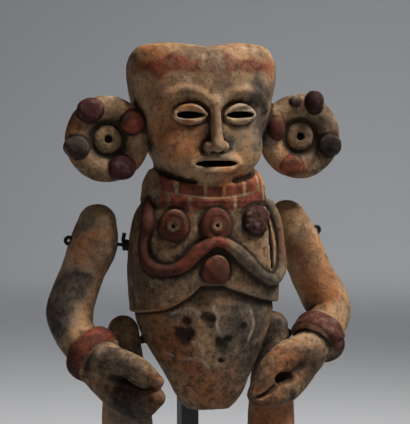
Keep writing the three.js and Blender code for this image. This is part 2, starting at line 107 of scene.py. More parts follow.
class Clay:
    """A block of small cells, each with its distance to the clay's surface, below zero inside the clay."""

    def __init__(self, low, high, cell):
        self.low, self.cell = np.array(low, float), cell
        self.depth = np.full(np.ceil((np.array(high) - self.low) / cell).astype(int) + 1, REACH, np.float32)

    def put(self, form, soft=0.5, taking=False):
        """Adds a form, rounded where it meets the clay, or takes it away."""
        low, high, distance = form
        start = np.maximum(((np.array(low) - REACH - self.low) / self.cell).astype(int), 0)
        reached = np.array(high) + REACH - self.low
        stop = np.minimum((reached / self.cell).astype(int) + 2, self.depth.shape)
        here = tuple(slice(a, b) for a, b in zip(start, stop))
        axes = [self.low[i] + self.cell * np.arange(start[i], stop[i]) for i in range(3)]
        value = distance(*np.ix_(*[a.astype(np.float32) for a in axes]))
        old = self.depth[here]
        self.depth[here] = -soft_min(-old, value, soft) if taking else soft_min(old, value, soft)

    def cut(self, form, soft=0.5):
        self.put(form, soft, taking=True)

    def at(self, points):
        """The distance at any points."""
        place = (points - self.low) / self.cell
        base = np.clip(np.floor(place).astype(int), 0, np.array(self.depth.shape) - 2)
        part = np.clip(place - base, 0, 1)
        total = np.zeros(len(points))
        for corner in np.ndindex(2, 2, 2):
            weight = np.prod(np.where(corner, part, 1 - part), axis=1)
            total += weight * self.depth[tuple((base + corner).T)]
        return total

    def slope(self, points):
        """How fast the distance grows along X, Y and Z at any points."""
        reach = self.cell * 0.7
        return np.stack([
            self.at(points + step) - self.at(points - step) for step in np.eye(3) * reach
        ], axis=1) / (2 * reach)

    def facing(self, points):
        """The direction straight out of the clay at any points."""
        slope = self.slope(points)
        return slope / np.maximum(np.linalg.norm(slope, axis=1), 1e-6)[:, None]

    def crowding(self, points, reach):
        """The share of clay in the space round each point: half on a flat surface, and more in a hollow."""
        share = np.clip(0.5 - self.depth / self.cell, 0, 1)
        n = max(round(reach / self.cell / 2), 1)
        for axis in (0, 1, 2, 0, 1, 2):
            margin = [(n + 1, n) if i == axis else (0, 0) for i in range(3)]
            total = np.moveaxis(np.cumsum(np.pad(share, margin, mode="edge"), axis=axis), axis, 0)
            share = np.moveaxis((total[2 * n + 1:] - total[:-2 * n - 1]) / (2 * n + 1), 0, axis)
        whole = Clay(self.low, self.low, self.cell)
        whole.depth = share
        return whole.at(points)

    def skin(self):
        """The surface: a point in each cell that it passes, and a four-sided face round each edge."""
        inside = self.depth < 0
        shape = np.array(inside.shape)
        corners = [
            inside[tuple(slice(c, n - 1 + c) for c, n in zip(at, shape))] for at in np.ndindex(2, 2, 2)
        ]
        mixed = np.logical_or.reduce(corners) & ~np.logical_and.reduce(corners)
        number = np.full(mixed.shape, -1)
        cells = np.argwhere(mixed)
        number[mixed] = np.arange(len(cells))
        total, count = np.zeros((len(cells), 3)), np.zeros(len(cells))
        faces = []
        for axis in range(3):
            along = np.eye(3, dtype=int)[axis]
            for corner in np.ndindex(2, 2, 2):
                if corner[axis]:
                    continue
                a = self.depth[tuple((cells + corner).T)]
                b = self.depth[tuple((cells + corner + along).T)]
                crosses = (a < 0) != (b < 0)
                share = a / np.where(crosses, a - b, 1)
                total += (cells + corner + along * share[:, None]) * crosses[:, None]
                count += crosses
            u, v = np.eye(3, dtype=int)[[(axis + 1) % 3, (axis + 2) % 3]]
            first = inside[tuple(slice(0, n - c) for n, c in zip(shape, along))]
            second = inside[tuple(slice(c, n) for n, c in zip(shape, along))]
            edges = np.argwhere(first != second)
            side = u + v
            edges = edges[np.all((edges >= side) & (edges < shape - side), axis=1)]
            quads = np.stack([number[tuple((edges - back).T)] for back in (u + v, v, 0 * u, u)], axis=1)
            outwards = first[tuple(edges.T)]
            faces.append(np.where(outwards[:, None], quads, quads[:, ::-1]))
        points = self.low + self.cell * total / count[:, None]
        for _ in range(2):
            slope = self.slope(points)
            points -= slope * (self.at(points) / np.maximum((slope ** 2).sum(1), 0.1))[:, None]
        return points, np.vstack(faces)


def ball(centre, radii, axes=((1, 0, 0), (0, 1, 0), (0, 0, 1))):
    """An oval lump: its radii along three axes at right angles."""
    centre = np.array(centre, float)
    radii = np.broadcast_to(np.array(radii, float), 3)
    reach = np.sqrt(((np.array(axes) * radii[:, None]) ** 2).sum(0))

    def distance(x, y, z):
        near = far = 0
        for axis, radius in zip(axes, radii):
            along = (x - centre[0]) * axis[0] + (y - centre[1]) * axis[1] + (z - centre[2]) * axis[2]
            near = near + (along / radius) ** 2
            far = far + (along / radius ** 2) ** 2
        near, far = np.sqrt(near), np.sqrt(far)
        return (near - 1) * np.maximum(near, 1e-3) / np.maximum(far, 1e-3 / radii.max())

    return centre - reach, centre + reach, distance


def roll(start, stop):
    """A tapered roll of clay from one point with a radius to another."""
    a, b = np.array(start, float), np.array(stop, float)
    way = b[:3] - a[:3]
    length = max(way @ way, 1e-6)

    def distance(x, y, z):
        dx, dy, dz = x - a[0], y - a[1], z - a[2]
        t = np.clip((dx * way[0] + dy * way[1] + dz * way[2]) / length, 0, 1)
        gap = np.sqrt((dx - t * way[0]) ** 2 + (dy - t * way[1]) ** 2 + (dz - t * way[2]) ** 2)
        return gap - (a[3] + (b[3] - a[3]) * t)

    size = max(a[3], b[3])
    return np.minimum(a, b)[:3] - size, np.maximum(a, b)[:3] + size, distance


def lay_coil(clay, points, soft=0.5, steps=6, taking=False):
    """Lays a smooth coil through points that carry a radius, or cuts it."""
    line = smooth_line(points, steps)
    low = (line[:, :3] - line[:, 3:]).min(0) - REACH
    high = (line[:, :3] + line[:, 3:]).max(0) + REACH
    start = np.maximum(((low - clay.low) / clay.cell).astype(int), 0)
    stop = np.minimum(((high - clay.low) / clay.cell).astype(int) + 2, clay.depth.shape)
    here = tuple(slice(a, b) for a, b in zip(start, stop))
    coil = Clay(clay.low, clay.low, clay.cell)  # a block of its own, just round the coil
    coil.low = clay.low + start * clay.cell
    coil.depth = np.full(stop - start, REACH, np.float32)
    for a, b in zip(line[:-1], line[1:]):
        coil.put(roll(a, b), 0.05)
    old = clay.depth[here]
    clay.depth[here] = -soft_min(-old, coil.depth, soft) if taking else soft_min(old, coil.depth, soft)


class Stack:
    """A form of level rings round a middle line: the half width, half depth and height of each."""

    def __init__(self, rings, power, middle):
        line = smooth_line(rings)
        self.heights = np.maximum.accumulate(line[:, 2]) + np.arange(len(line)) * 1e-6
        self.widths, self.depths = np.maximum(line[:, 0], 0.3), np.maximum(line[:, 1], 0.3)
        self.slopes = np.gradient(self.depths, self.heights + np.arange(len(line)) * 1e-3)
        self.power, self.middle = power, middle

    def form(self, sink=None):
        """sink(x, z), where it is given, lowers the form."""
        def distance(x, y, z):
            level = z if sink is None else z + sink(x, z)
            wide = np.interp(level, self.heights, self.widths)
            deep = np.interp(level, self.heights, self.depths)
            steep = np.interp(level, self.heights, np.abs(self.slopes))
            centre_x, centre_y = self.middle(level)
            across, along = (x - centre_x) / wide, (y - centre_y) / deep
            size = (np.abs(across) ** self.power + np.abs(along) ** self.power) ** (1 / self.power)
            size = np.maximum(size, 0.02)
            pull = np.maximum(np.hypot(across / wide, along / deep), size / np.maximum(wide, deep))
            level_gap = (size - 1) * size / pull / np.sqrt(1 + steep ** 2)
            return np.maximum(level_gap, np.maximum(self.heights[0] - level, level - self.heights[-1]))

        wide, deep = self.widths.max() + 3, self.depths.max() + 9
        return (-wide, -deep, self.heights[0]), (wide, deep, self.heights[-1]), distance

    def front(self, x, z, lift=0.0):
        """The point of the form's front at x and z, lifted off it, and the direction that it faces."""
        wide, deep = np.interp(z, self.heights, self.widths), np.interp(z, self.heights, self.depths)
        centre_x, centre_y = self.middle(z)
        across = np.clip((x - centre_x) / wide, -0.985, 0.985)
        depth = (1 - abs(across) ** self.power) ** (1 / self.power)
        facing = np.array([
            np.sign(across) * abs(across) ** (self.power - 1) / wide, -(depth ** (self.power - 1)) / deep, 0,
        ])
        facing /= np.linalg.norm(facing)
        return np.array([centre_x + across * wide, centre_y - depth * deep, z]) + facing * lift, facing


BODY_NODES = ("torso", "head", "right_ear_flare", "left_ear_flare")
BODY_LOW = np.min([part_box(node)[0] for node in BODY_NODES], axis=0) / MM
BODY_HIGH = np.max([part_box(node)[1] for node in BODY_NODES], axis=0) / MM
SQUARENESS = 2.3  # 2 makes a plain oval across, and more makes it squarer
CHEST_MIDDLE_Y = -1.6
TRUNK_RINGS = [
    (0, 0, 87.5), (11, 8, 87.9), (17.6, 13, 94.6), (23.7, 18.5, 107.2), (30.2, 22, 119.3), (36.4, 24.5, 133),
    (38.4, 25, 141), (36, 23, 160), (33, 21, 190), (31.4, 20.6, 203), (29.2, 20, 211), (27.6, 19.4, 219),
    (27.2, 19, 230), (0, 0, 236),
]
CAPE_RINGS = [
    (0, 0, 134), (40.6, 26, 135.5), (41.4, 26.6, 145), (42.2, 26.8, 155), (42.6, 26.8, 167),
    (41.3, 26.4, 181), (39.8, 25.6, 190), (37.6, 24.4, 196.5), (33.6, 22.2, 200.8), (0, 0, 202),
]
CHIN, CROWN = 209.5, 288
HEAD_RINGS = [
    (0, 0, CHIN), (13, 13, 210.6), (21, 19.5, 215), (26.5, 23.2, 222.5), (31, 25.4, 232), (35.4, 26.8, 243),
    (38.6, 27.4, 256), (41, 27.4, 269), (40.6, 26.6, 277.5), (36, 23, 285), (24, 15, CROWN),
    (0, 0, CROWN + 0.3),
]


def trunk_middle(z):
    lean = ease((138 - z) / 45)
    return 1.5 * lean, CHEST_MIDDLE_Y - 4 * lean


def head_middle(z):
    return -0.6, 2 - 7 * ease((CHIN + 28 - z) / 28)


def crown_dip(x, z):
    return 2.6 * np.exp(-((x / 13) ** 2)) * ease((z - 272) / 14)


trunk = Stack(TRUNK_RINGS, SQUARENESS, trunk_middle)
cape = Stack(CAPE_RINGS, SQUARENESS, trunk_middle)
head = Stack(HEAD_RINGS, 2.5, head_middle)

body_clay = Clay(BODY_LOW - 4, BODY_HIGH + 4, BODY_CELL)
body_clay.put(trunk.form())

# The cape's lower edge: high in the middle of the front, straight behind
HEM = np.array([
    (-41, 141.5), (-27.5, 144), (-20.7, 147.5), (-14.4, 151.8), (-8.9, 157), (3.5, 157), (9.2, 154.6),
    (17.2, 151.8), (25.4, 149), (34, 147), (41, 145.5),
])


def hem_height(x, y):
    at_front = np.interp(x, HEM[:, 0], HEM[:, 1])
    behind = np.interp(x, [HEM[0, 0], HEM[-1, 0]], [HEM[0, 1], HEM[-1, 1]])
    return behind + (at_front - behind) * ease((2 - y) / 8)


cape_low, cape_high, cape_distance = cape.form()
body_clay.put((cape_low, cape_high, lambda x, y, z: -soft_min(
    -cape_distance(x, y, z), z - hem_height(x, y), 1.6)), 0.5)

# Two collar bands: the height of each at the sides and in front, its half height there, how far it stands
# out, its half width and depth, and how much narrower it gets for each millimetre of height
COLLAR = [
    dict(side=214, front=207.4, half=(5.2, 3.3), proud=1.7, wide=30.8, deep=21.6, lean=0.45),
    dict(side=204.4, front=200.6, half=(5.2, 3.6), proud=1.8, wide=32.4, deep=23.3, lean=0.1),
]
COLLAR_SHIFT = -0.2  # how far the collar sits off the trunk's middle line, along X
BAND_EDGE = 2.6  # how square a band's edges are


def collar_line(band, angle):
    """The height of a collar band's middle at an angle round the neck, and its half height there."""
    forward = np.maximum(0, -np.sin(angle)) ** 1.5
    half_side, half_front = band["half"]
    height = band["side"] + (band["front"] - band["side"]) * forward
    return height, half_side + (half_front - half_side) * forward


def collar_form(band):
    def distance(x, y, z):
        centre_x, centre_y = trunk_middle(z)
        across, along = x - centre_x - COLLAR_SHIFT, y - centre_y
        narrowed = band["wide"] - band["lean"] * (z - band["side"])
        size = np.abs(across / narrowed) ** SQUARENESS + np.abs(along / band["deep"]) ** SQUARENESS
        out = (size ** (1 / SQUARENESS) - 1) * 0.5 * (band["wide"] + band["deep"])
        middle, half = collar_line(band, np.arctan2(along / band["deep"], across / band["wide"]))
        oval = np.abs(out / band["proud"]) ** BAND_EDGE + np.abs((z - middle) / half) ** BAND_EDGE
        return (oval ** (1 / BAND_EDGE) - 1) * band["proud"]

    wide, deep = band["wide"] + band["proud"], band["deep"] + band["proud"] + 2
    return (-wide, -deep, band["front"] - 5), (wide, deep, band["side"] + 5), distance


for band in COLLAR:
    body_clay.put(collar_form(band), 1.1)

# The head, with soft hollows, lumps and ridges worked into its front
body_clay.put(head.form(crown_dip), 1.2)
EYE_Z = (CROWN + CHIN) / 2
NOSE_Z = (EYE_Z + CHIN) / 2
MOUTH_Z = NOSE_Z - (NOSE_Z - CHIN) / 3
EYE_X = 14


def face_line(points, radius, lift=0.0):
    """Points on the face that carry a radius, from x, height and, where it changes, the radius's share."""
    return [(*head.front(p[0], p[1], lift)[0], radius * (p[2] if len(p) > 2 else 1)) for p in points]


def mirrored(side, points):
    return [(side * p[0], *p[1:]) for p in points]


for side in (-1, 1):
    eye, _ = head.front(side * EYE_X, EYE_Z)
    body_clay.cut(ball(eye + (side * 1.5, -2.2, 0.6), (12, 4.2, 8.2)), 4)
    body_clay.put(ball(head.front(side * 21, EYE_Z - 18, -3)[0], (9, 5, 11)), 6)
    lay_coil(body_clay, face_line(mirrored(side, [
        (2.2, EYE_Z + 6.5), (8, EYE_Z + 11.4), (16, EYE_Z + 13.4), (24, EYE_Z + 11.2), (31, EYE_Z + 4),
    ]), 2.1, -0.4), 2.6)
    body_clay.put(ball(eye + (0, 0.9, 0), (9.4, 2.6, 5)), 1.6)
    lay_coil(body_clay, face_line(mirrored(side, [
        (5.2, EYE_Z + 0.2, 0.6), (9.4, EYE_Z + 3.6), (14.2, EYE_Z + 4.9), (19.4, EYE_Z + 3.4),
        (23.4, EYE_Z - 0.4, 0.6),
    ]), 1.25, 0.2), 0.8)
    lay_coil(body_clay, face_line(mirrored(side, [
        (6, EYE_Z - 1.4, 0.6), (10, EYE_Z - 3.5), (15, EYE_Z - 4), (22.6, EYE_Z - 1.6, 0.6),
    ]), 1.0, 0.1), 0.8)

NOSE_PROUD = 7.5
nose_base, nose_bridge = head.front(0, NOSE_Z)[0][1], head.front(0, EYE_Z + 8)[0][1]
lay_coil(body_clay, [
    (0, nose_bridge + 1.4, EYE_Z + 8, 2.6), (0, nose_bridge - 0.6, EYE_Z + 1, 2.4),
    (0, nose_base - NOSE_PROUD * 0.42, (EYE_Z + NOSE_Z) / 2 - 1, 3.1),
    (0, nose_base - NOSE_PROUD * 0.66, NOSE_Z + 3.4, 3.7),
], 2.6)
for side in (-1, 1):
    body_clay.put(ball((side * 3.9, nose_base - 1.2, NOSE_Z + 2.6), (3.3, 4.2, 3)), 1.2)
    body_clay.cut(ball((side * 2.7, nose_base - 3.2, NOSE_Z - 0.6), (1.1, 1.6, 1.2)), 0.6)
lip = [(-12.6, 0, 0.55), (-7, 1, 0.95), (0, 1.25, 1), (7, 1, 0.95), (12.6, 0, 0.55)]
body_clay.put(ball(head.front(0, MOUTH_Z)[0] + (0, 0.6, 0), (14.5, 3.4, 6.6)), 3)
for rise in (3.1, -3.3):
    lay_coil(body_clay, face_line([(x, MOUTH_Z + rise * up, share) for x, up, share in lip], 2, 1.6), 1)
body_clay.put(ball(head.front(0, CHIN + 5.4, -2.4)[0], (9, 4.6, 4.4)), 4)

SLOT_DEPTH = 15
for x, z, wide, high in ((-EYE_X, EYE_Z, 7.6, 2), (EYE_X, EYE_Z, 7.6, 2), (0, MOUTH_Z, 11.6, 1.9)):
    front = head.front(x, z)[0]
    body_clay.cut(ball(front, (wide, SLOT_DEPTH, high)), 0.4)

# Ear flares: a fat ring round a pierced boss, with pellets of clay pressed onto the ring
FLARE_X, FLARE_Y = 54.6, -3
FLARE_Z = {-1: 235.7, 1: 236.8}
RING_RADIUS, RING_TUBE, RING_THICK = 17, 6.4, 5.2
# Each pellet: angle from +X in degrees, distance from the middle, half width, half height, how high it
# stands, and how strongly it is painted red, crusted with purple and blackened
FLARE_PELLETS = {
    -1: [
        (124, 19, 7, 6.8, 4.2, 0.9, 0.8, 0), (35, 15.8, 6.2, 6.8, 4.6, 0.9, 0, 0),
        (193, 18.4, 6.8, 6.4, 4, 0.35, 0, 0.85), (294, 17.2, 7, 7, 4.2, 0.9, 0.9, 0),
    ],
    1: [
        (162, 15.4, 5, 6.4, 4.8, 0.9, 0.3, 0), (101, 19.8, 3.2, 2.8, 2.6, 0.5, 0.7, 0.6),
        (69, 20.4, 4.8, 6.4, 5.6, 0.9, 0.8, 0.6), (344, 17.4, 6.4, 6.4, 4.6, 0.1, 0, 1),
        (251, 17.5, 6.8, 5.8, 3.6, 0.75, 0, 0),
    ],
}


def flare_ring(centre, radius, tube, thick):
    def distance(x, y, z):
        out = np.hypot(x - centre[0], z - centre[2]) - radius
        oval = np.hypot(out / tube, (y - centre[1]) / thick)
        return (oval - 1) * thick

    reach = np.array([radius + tube, thick, radius + tube])
    return centre - reach, centre + reach, distance


def disc(centre, radius, thick, edge):
    """A flat round lump facing forward, with a rounded edge."""
    def distance(x, y, z):
        out = np.hypot(x - centre[0], z - centre[2]) - radius + edge
        up = np.abs(y - centre[1]) - thick + edge
        return np.hypot(np.maximum(out, 0), np.maximum(up, 0)) + np.minimum(np.maximum(out, up), 0) - edge

    reach = np.array([radius, thick, radius])
    return centre - reach, centre + reach, distance


def pellet(clay, point, facing, wide, high, proud):
    """Presses a flattened pellet, not quite round, onto a surface."""
    across = np.cross(facing, (0, 0, 1.0))
    across /= np.linalg.norm(across)
    axes = np.array([across, np.cross(across, facing), facing])
    turn = point.sum()

    def distance(x, y, z):
        u, v, out = [(x - point[0]) * a[0] + (y - point[1]) * a[1] + (z - point[2]) * a[2] for a in axes]
        u, v = u / wide, v / high
        angle = np.arctan2(v, u)
        edge = 1 + 0.035 * np.sin(2 * angle + turn) + 0.03 * np.sin(3 * angle + 2 * turn)
        size = ((np.hypot(u, v) / edge) ** 2.7 + np.abs(out / proud) ** 2.7) ** (1 / 2.7)
        return (size - 1) * np.where(size > 1, min(wide, high), proud)

    reach = max(wide, high) + 1
    clay.put((point - reach, point + reach, distance), 0.3)


def flare_point(side, degrees, distance, out):
    angle = math.radians(degrees)
    middle = np.array([side * FLARE_X, FLARE_Y - out, FLARE_Z[side]])
    return middle + distance * np.array([math.cos(angle), 0, math.sin(angle)])


for side in (-1, 1):
    middle = np.array([side * FLARE_X, FLARE_Y, FLARE_Z[side]])
    body_clay.put(disc(middle + (0, 2.6, 0), 19.5, 3.4, 2.4), 1.5)
    body_clay.put(flare_ring(middle + (0, -0.2, 0), RING_RADIUS, RING_TUBE, RING_THICK), 3.4)
    body_clay.put(disc(middle + (0, 0.2, 0), 7.7, 3.5, 2.8), 2)
    body_clay.cut(disc(middle + (0, -3, 0), 2.3, 5, 0.8), 0.8)
    for degrees, distance, wide, high, proud, *_ in FLARE_PELLETS[side]:
        point = flare_point(side, degrees, distance, RING_THICK - 1)
        pellet(body_clay, point, np.array([0, -1.0, 0]), wide, high, proud)

# A rope of clay that runs down the right of the chest, up over the middle and round the left side
ROPE = [
    (-32, 201), (-35, 191), (-37, 182), (-37, 173), (-34, 167), (-27, 165.4), (-19, 168), (-11, 175.5),
    (-1, 181), (8, 177.6), (17, 169.6), (26, 162), (34, 159), (39, 165), (39.2, 178), (37, 190), (32.5, 199),
]
ROPE_RADIUS, ROPE_SWELL, ROPE_LIFT = 3.3, 0.5, 0.9
rope_points = [
    (*cape.front(x, z, ROPE_LIFT)[0], ROPE_RADIUS + ROPE_SWELL * math.sin(2.1 * i))
    for i, (x, z) in enumerate(ROPE)
]
lay_coil(body_clay, rope_points, 0.6)
# The gap behind the rope's last stretch, as x, height and radius
STRAP_GAP = [(31.8, 190, 1.1), (33, 182, 2), (33.6, 175, 2.2), (33.6, 166, 1.5)]
lay_coil(body_clay, [(*cape.front(x, z, -1)[0], radius) for x, z, radius in STRAP_GAP], 0.3, taking=True)

# Pellets on the chest: x, height, radius, how high it stands, whether its middle is pressed in, and how
# strongly it is painted red
CRUSTY_PELLET = (23, 192, 8, 4.4, False, 0.5)
CHEST_PELLETS = [
    (-23, 189.5, 8.4, 3.6, True, 0.95), (-0.6, 189.5, 9, 3.8, True, 0.95), CRUSTY_PELLET,
    (-1, 165.5, 8, 4.6, False, 0.85),
]
PRESSED_RING = 5
for x, z, radius, proud, pressed, _ in CHEST_PELLETS:
    point, facing = cape.front(x, z)
    pellet(body_clay, point, facing, radius, radius, proud)
    if pressed:
        across = np.cross(facing, (0, 0, 1.0))
        for turn in np.linspace(0, 2 * math.pi, 25)[:-1]:
            away = PRESSED_RING * (across * math.cos(turn) + np.array([0, 0, math.sin(turn)]))
            body_clay.cut(ball(point + facing * (proud + 0.1) + away, 1), 0.7)
        lay_coil(body_clay, [(*(point + facing), 0.9), (*(point + facing * 6), 1.4)], 0.5, taking=True)

# Small grains of crust that stick to the pellet at the left of the chest
CRUST_GRAINS = 46
crust_random = np.random.default_rng(5)
crusty_x, crusty_z, crusty_radius, crusty_proud = CRUSTY_PELLET[:4]
crusty_point, crusty_facing = cape.front(crusty_x, crusty_z)
crusty_across = np.cross(crusty_facing, (0, 0, 1.0))
for _ in range(CRUST_GRAINS):
    turn = crust_random.uniform(0, 2 * math.pi)
    away = (crusty_radius - 0.6) * math.sqrt(crust_random.uniform(0, 1))
    rise = crusty_proud * (1 - (away / crusty_radius) ** 2.7) ** (1 / 2.7) - 0.5
    place = crusty_point + crusty_facing * rise + away * math.cos(turn) * crusty_across
    body_clay.put(ball(place + (0, 0, away * math.sin(turn)), crust_random.uniform(0.7, 1.5)), 0.6)

# The holes that the wires go into, and the socket in the back for the stand's peg
SHOULDER_WIRES = {
    "right": ((-36, 5, 177), (-75.4, 11, 180.4)),
    "left": ((35, 7, 180.5), (72.2, 11.5, 184)),
}
HIP_WIRES = {
    "right": ((-26, 11, 125.5), (-53.8, 11.4, 125.5)),
    "left": ((26, 11, 125.5), (55.8, 11.8, 125.5)),
}
WIRE_HOLE = 3.5
LIMB_HOLE_INSIDE, LIMB_HOLE_OUTSIDE = 1.9, 1.7


def wire_ends(ends):
    """A wire's inner end, its outer end and the direction from one to the other."""
    inner, outer = np.array(ends, float)
    return inner, outer, (outer - inner) / np.linalg.norm(outer - inner)


for ends in (*SHOULDER_WIRES.values(), *HIP_WIRES.values()):
    inner, _, way = wire_ends(ends)
    start = inner - way * 0.6
    body_clay.cut(roll((*start, WIRE_HOLE), (*(start + way * 12), WIRE_HOLE)), 0.5)
body_clay.cut(roll((0, 18, 166, 4.2), (0, 32, 166, 4.4)), 0.8)

# Pits and chips in the belly, as x, height, radius and depth
BELLY_PITS = [
    (-19, 131.6, 2.8, 1.3), (-15, 131.4, 3, 1.3), (-16.6, 128.4, 2.8, 1.2), (-16.6, 138, 2.4, 1),
    (-6, 140, 3, 1.1), (-3.4, 138.4, 3.2, 1.1), (3.4, 124.6, 3, 1.2), (6.4, 127.4, 2.4, 1),
    (1.6, 127, 1.8, 0.9), (3, 116, 1.4, 0.8), (-22, 119, 1.6, 0.8), (16, 134, 2, 0.6),
]
for x, z, radius, depth in BELLY_PITS:
    point, facing = trunk.front(x, z)
    body_clay.cut(ball(point - facing * 0.1, (radius, depth, radius * 0.8)), 1.2)


def waves(points, length, seed):
    """Smooth random unevenness between about -1 and 1, with that distance from one rise to the next."""
    random = np.random.default_rng(seed)
    ways = random.normal(size=(14, 3))
    ways *= (2 * math.pi / length / np.linalg.norm(ways, axis=1) * random.uniform(0.7, 1.4, 14))[:, None]
    turns = random.uniform(0, 2 * math.pi, 14)
    return np.sin(points @ ways.T + turns).sum(1) / math.sqrt(14) / 1.4


SPOT_DRIFT = 3.4  # how far a spot's edge wanders


def near_spots(points, spots):
    """How strongly uneven spots of x, y, z, radius and strength reach each point, from 0 to 1."""
    blown = points + SPOT_DRIFT * np.stack([waves(points, 19, 90 + i) for i in range(3)], axis=1)
    left = np.ones(len(points))
    for x, y, z, radius, strength in spots:
        gap = np.linalg.norm(blown - (x, y, z), axis=1) / radius
        left *= 1 - strength * ease((1.7 - gap) / 1.5)
    return 1 - left


def model(name, clay, seed):
    """The clay's surface as a mesh, thinned to the triangle limit, with the small dents of hand work."""
    points, faces = clay.skin()
    mesh = bpy.data.meshes.new(name)
    mesh.from_pydata((points * MM).tolist(), [], faces.tolist())
    piece = bpy.data.objects.new(name, mesh)
    bpy.context.scene.collection.objects.link(piece)
    if 2 * len(faces) > MOST_TRIANGLES:
        thinner = piece.modifiers.new("thinner", "DECIMATE")
        thinner.ratio = MOST_TRIANGLES / (2 * len(faces))
        ready = bpy.context.evaluated_depsgraph_get()
        mesh = bpy.data.meshes.new_from_object(piece.evaluated_get(ready))
        piece.modifiers.clear()
        piece.data = mesh
        mesh.name = name
    places = np.empty(3 * len(mesh.vertices), np.float32)
    mesh.vertices.foreach_get("co", places)
    places = places.reshape(-1, 3) / MM
    facing = clay.facing(places)
    dents = 0.16 * waves(places, 17, seed) + 0.07 * waves(places, 6, seed + 1)
    mesh.vertices.foreach_set("co", ((places + facing * dents[:, None]) * MM).astype(np.float32).ravel())
    mesh.update()
    mesh.polygons.foreach_set("use_smooth", np.ones(len(mesh.polygons), bool))
    return piece, places


def layer(piece, name, values):
    """Stores how strongly a colour layer covers each point of the surface."""
    piece.data.attributes.new(name, "FLOAT", "POINT").data.foreach_set(
        "value", np.clip(values, 0, 1).astype(np.float32))


def shade_layers(piece, clay, places, added_darkening=0):
    """Soil and painted shade where clay crowds round in creases, that much more all over, and worn high
    edges.
    """
    fine, broad = clay.crowding(places, 2.5), clay.crowding(places, 7)
    layer(piece, "hollows", added_darkening + 5.5 * np.maximum(fine - 0.53, 0) + 2 * np.maximum(broad - 0.5, 0))
    layer(piece, "high_edges", 5 * (0.44 - fine))


def painted(piece, red, purple, orange, cloud):
    layer(piece, "red_paint", red)
    layer(piece, "purple_crust", purple)
    layer(piece, "orange_patches", orange)
    layer(piece, "fire_clouds", cloud)


body, places = model("body_clay", body_clay, 11)
x, y, z = places.T
forward = ease((2 - y) / 10)


def along_line(points, line, radius, soft=1.2):
    """1 on a coil laid through the line, falling to 0 just beyond its radius."""
    nearest = np.full(len(points), 99.0)
    for a, b in zip(line[:-1], line[1:]):
        way = b - a
        t = np.clip((points - a) @ way / (way @ way), 0, 1)
        nearest = np.minimum(nearest, np.linalg.norm(points - a - t[:, None] * way, axis=1))
    return ease((radius + soft - nearest) / (2 * soft))


def front_spots(stack, spots):
    """Spots on a form's front, from x, height, radius and strength."""
    return [(*stack.front(x, z)[0], radius, strength) for x, z, radius, strength in spots]


# Red paint: a worn band along the top of the head, the collar's blocks, the rope and the pellets.
# The blocks leave bare clay between them at these x.
HEAD_BAND_Z, HEAD_BAND_HALF, HEAD_BAND_WANDER = 276.5, 9.5, 2.6
BLOCK_GAPS = ((-30, -20.9, -5.5, 5, 16.9, 26), (-25.2, -14.3, 10.8))
off_band = np.abs(z - HEAD_BAND_Z + 0.04 * np.abs(x))
red = 0.85 * ease((HEAD_BAND_HALF + HEAD_BAND_WANDER * waves(places, 15, 71) - off_band) / 8) * forward
red *= np.interp(x, [-42, -36, -14, 0, 12, 30, 41], [0.6, 0.95, 0.85, 0.6, 0.85, 0.95, 0.5])
angle = np.arctan2(y - CHEST_MIDDLE_Y, x)
for band, gaps in zip(COLLAR, BLOCK_GAPS):
    middle, half = collar_line(band, angle)
    tall = ease((half - 0.5 - np.abs(z - middle)) / 1.1 + 0.5)
    block = tall * forward * ease((29 - np.abs(x)) / 4 + 0.5)
    for gap in gaps:
        block = block * ease((np.abs(x - gap) - 0.35) / 0.9)
    red = np.maximum(red, 0.95 * block)
on_rope = along_line(places, smooth_line(rope_points)[:, :3], ROPE_RADIUS + 1.1)
red = np.maximum(red, on_rope * np.interp(x, [-36, -12, 2, 10, 34, 40], [1.1, 1, 0.95, 0.3, 0.2, 0.6]))
from_crusty = np.linalg.norm(places - crusty_point, axis=1)
purple = np.maximum(ease((crusty_radius + 1.4 - from_crusty) / 2), 0.24 * on_rope * ease((-20 - x) / 8))
for pellet_x, pellet_z, radius, _, pressed, redness in CHEST_PELLETS:
    gap = np.linalg.norm(places - cape.front(pellet_x, pellet_z)[0], axis=1)
    on_pellet = ease((radius + 1.2 - gap) / 1.6)
    red = np.maximum(red, redness * on_pellet)
    purple = np.maximum(purple, 0.07 * on_pellet)
    if pressed:
        red *= 1 - 0.65 * ease((PRESSED_RING + 0.2 - gap) / 1.4)
burnt = 0 * red
for side, pellets in FLARE_PELLETS.items():
    for degrees, distance, wide, high, _, redness, crusted, blackened in pellets:
        point = flare_point(side, degrees, distance, RING_THICK - 1)
        gap = np.hypot((x - point[0]) / (wide + 0.9), (z - point[2]) / (high + 0.9))
        raised = ease((1.08 - gap) / 0.16) * ease((point[1] + 1.5 - y) / 1.5)
        red = np.maximum(red, redness * raised)
        purple = np.maximum(purple, crusted * raised)
        burnt = np.maximum(burnt, blackened * raised)

# Orange patches and grey to black clouds left by the fire, and painted shade under the hem and in the ear
# flares' recesses
orange = near_spots(places, [
    *front_spots(head, [
        (-24, 240, 13, 0.9), (-18, 228, 9, 0.8), (-33, 281, 10, 0.9), (8, 214, 10, 0.95),
        (-14, 252, 7, 0.6), (20, 215, 8, 0.4), (-30, 262, 10, 0.45),
    ]),
    *front_spots(trunk, [
        (-21, 124, 12, 1), (-14, 112, 8, 0.9), (0, 100, 13, 1), (4, 110, 7, 0.7), (-30, 138, 8, 0.7),
    ]),
    *front_spots(cape, [(-15, 198, 5, 0.9), (20, 203, 6, 0.6), (-1, 164, 6, 0.5)]),
    (44, -6, 221, 8, 0.85), (49, -9, 220, 8, 0.9), (-39, -6, 222, 7, 0.6), (-73, -8, 230, 6, 0.8),
    (-75, -6, 242, 6, 0.9), (-44, -6, 217, 8, 0.5), (-77, -3, 228, 7, 0.6), (10, 26, 262, 16, 0.7),
    (-18, 20, 160, 15, 0.6), (20, 18, 112, 13, 0.6),
])
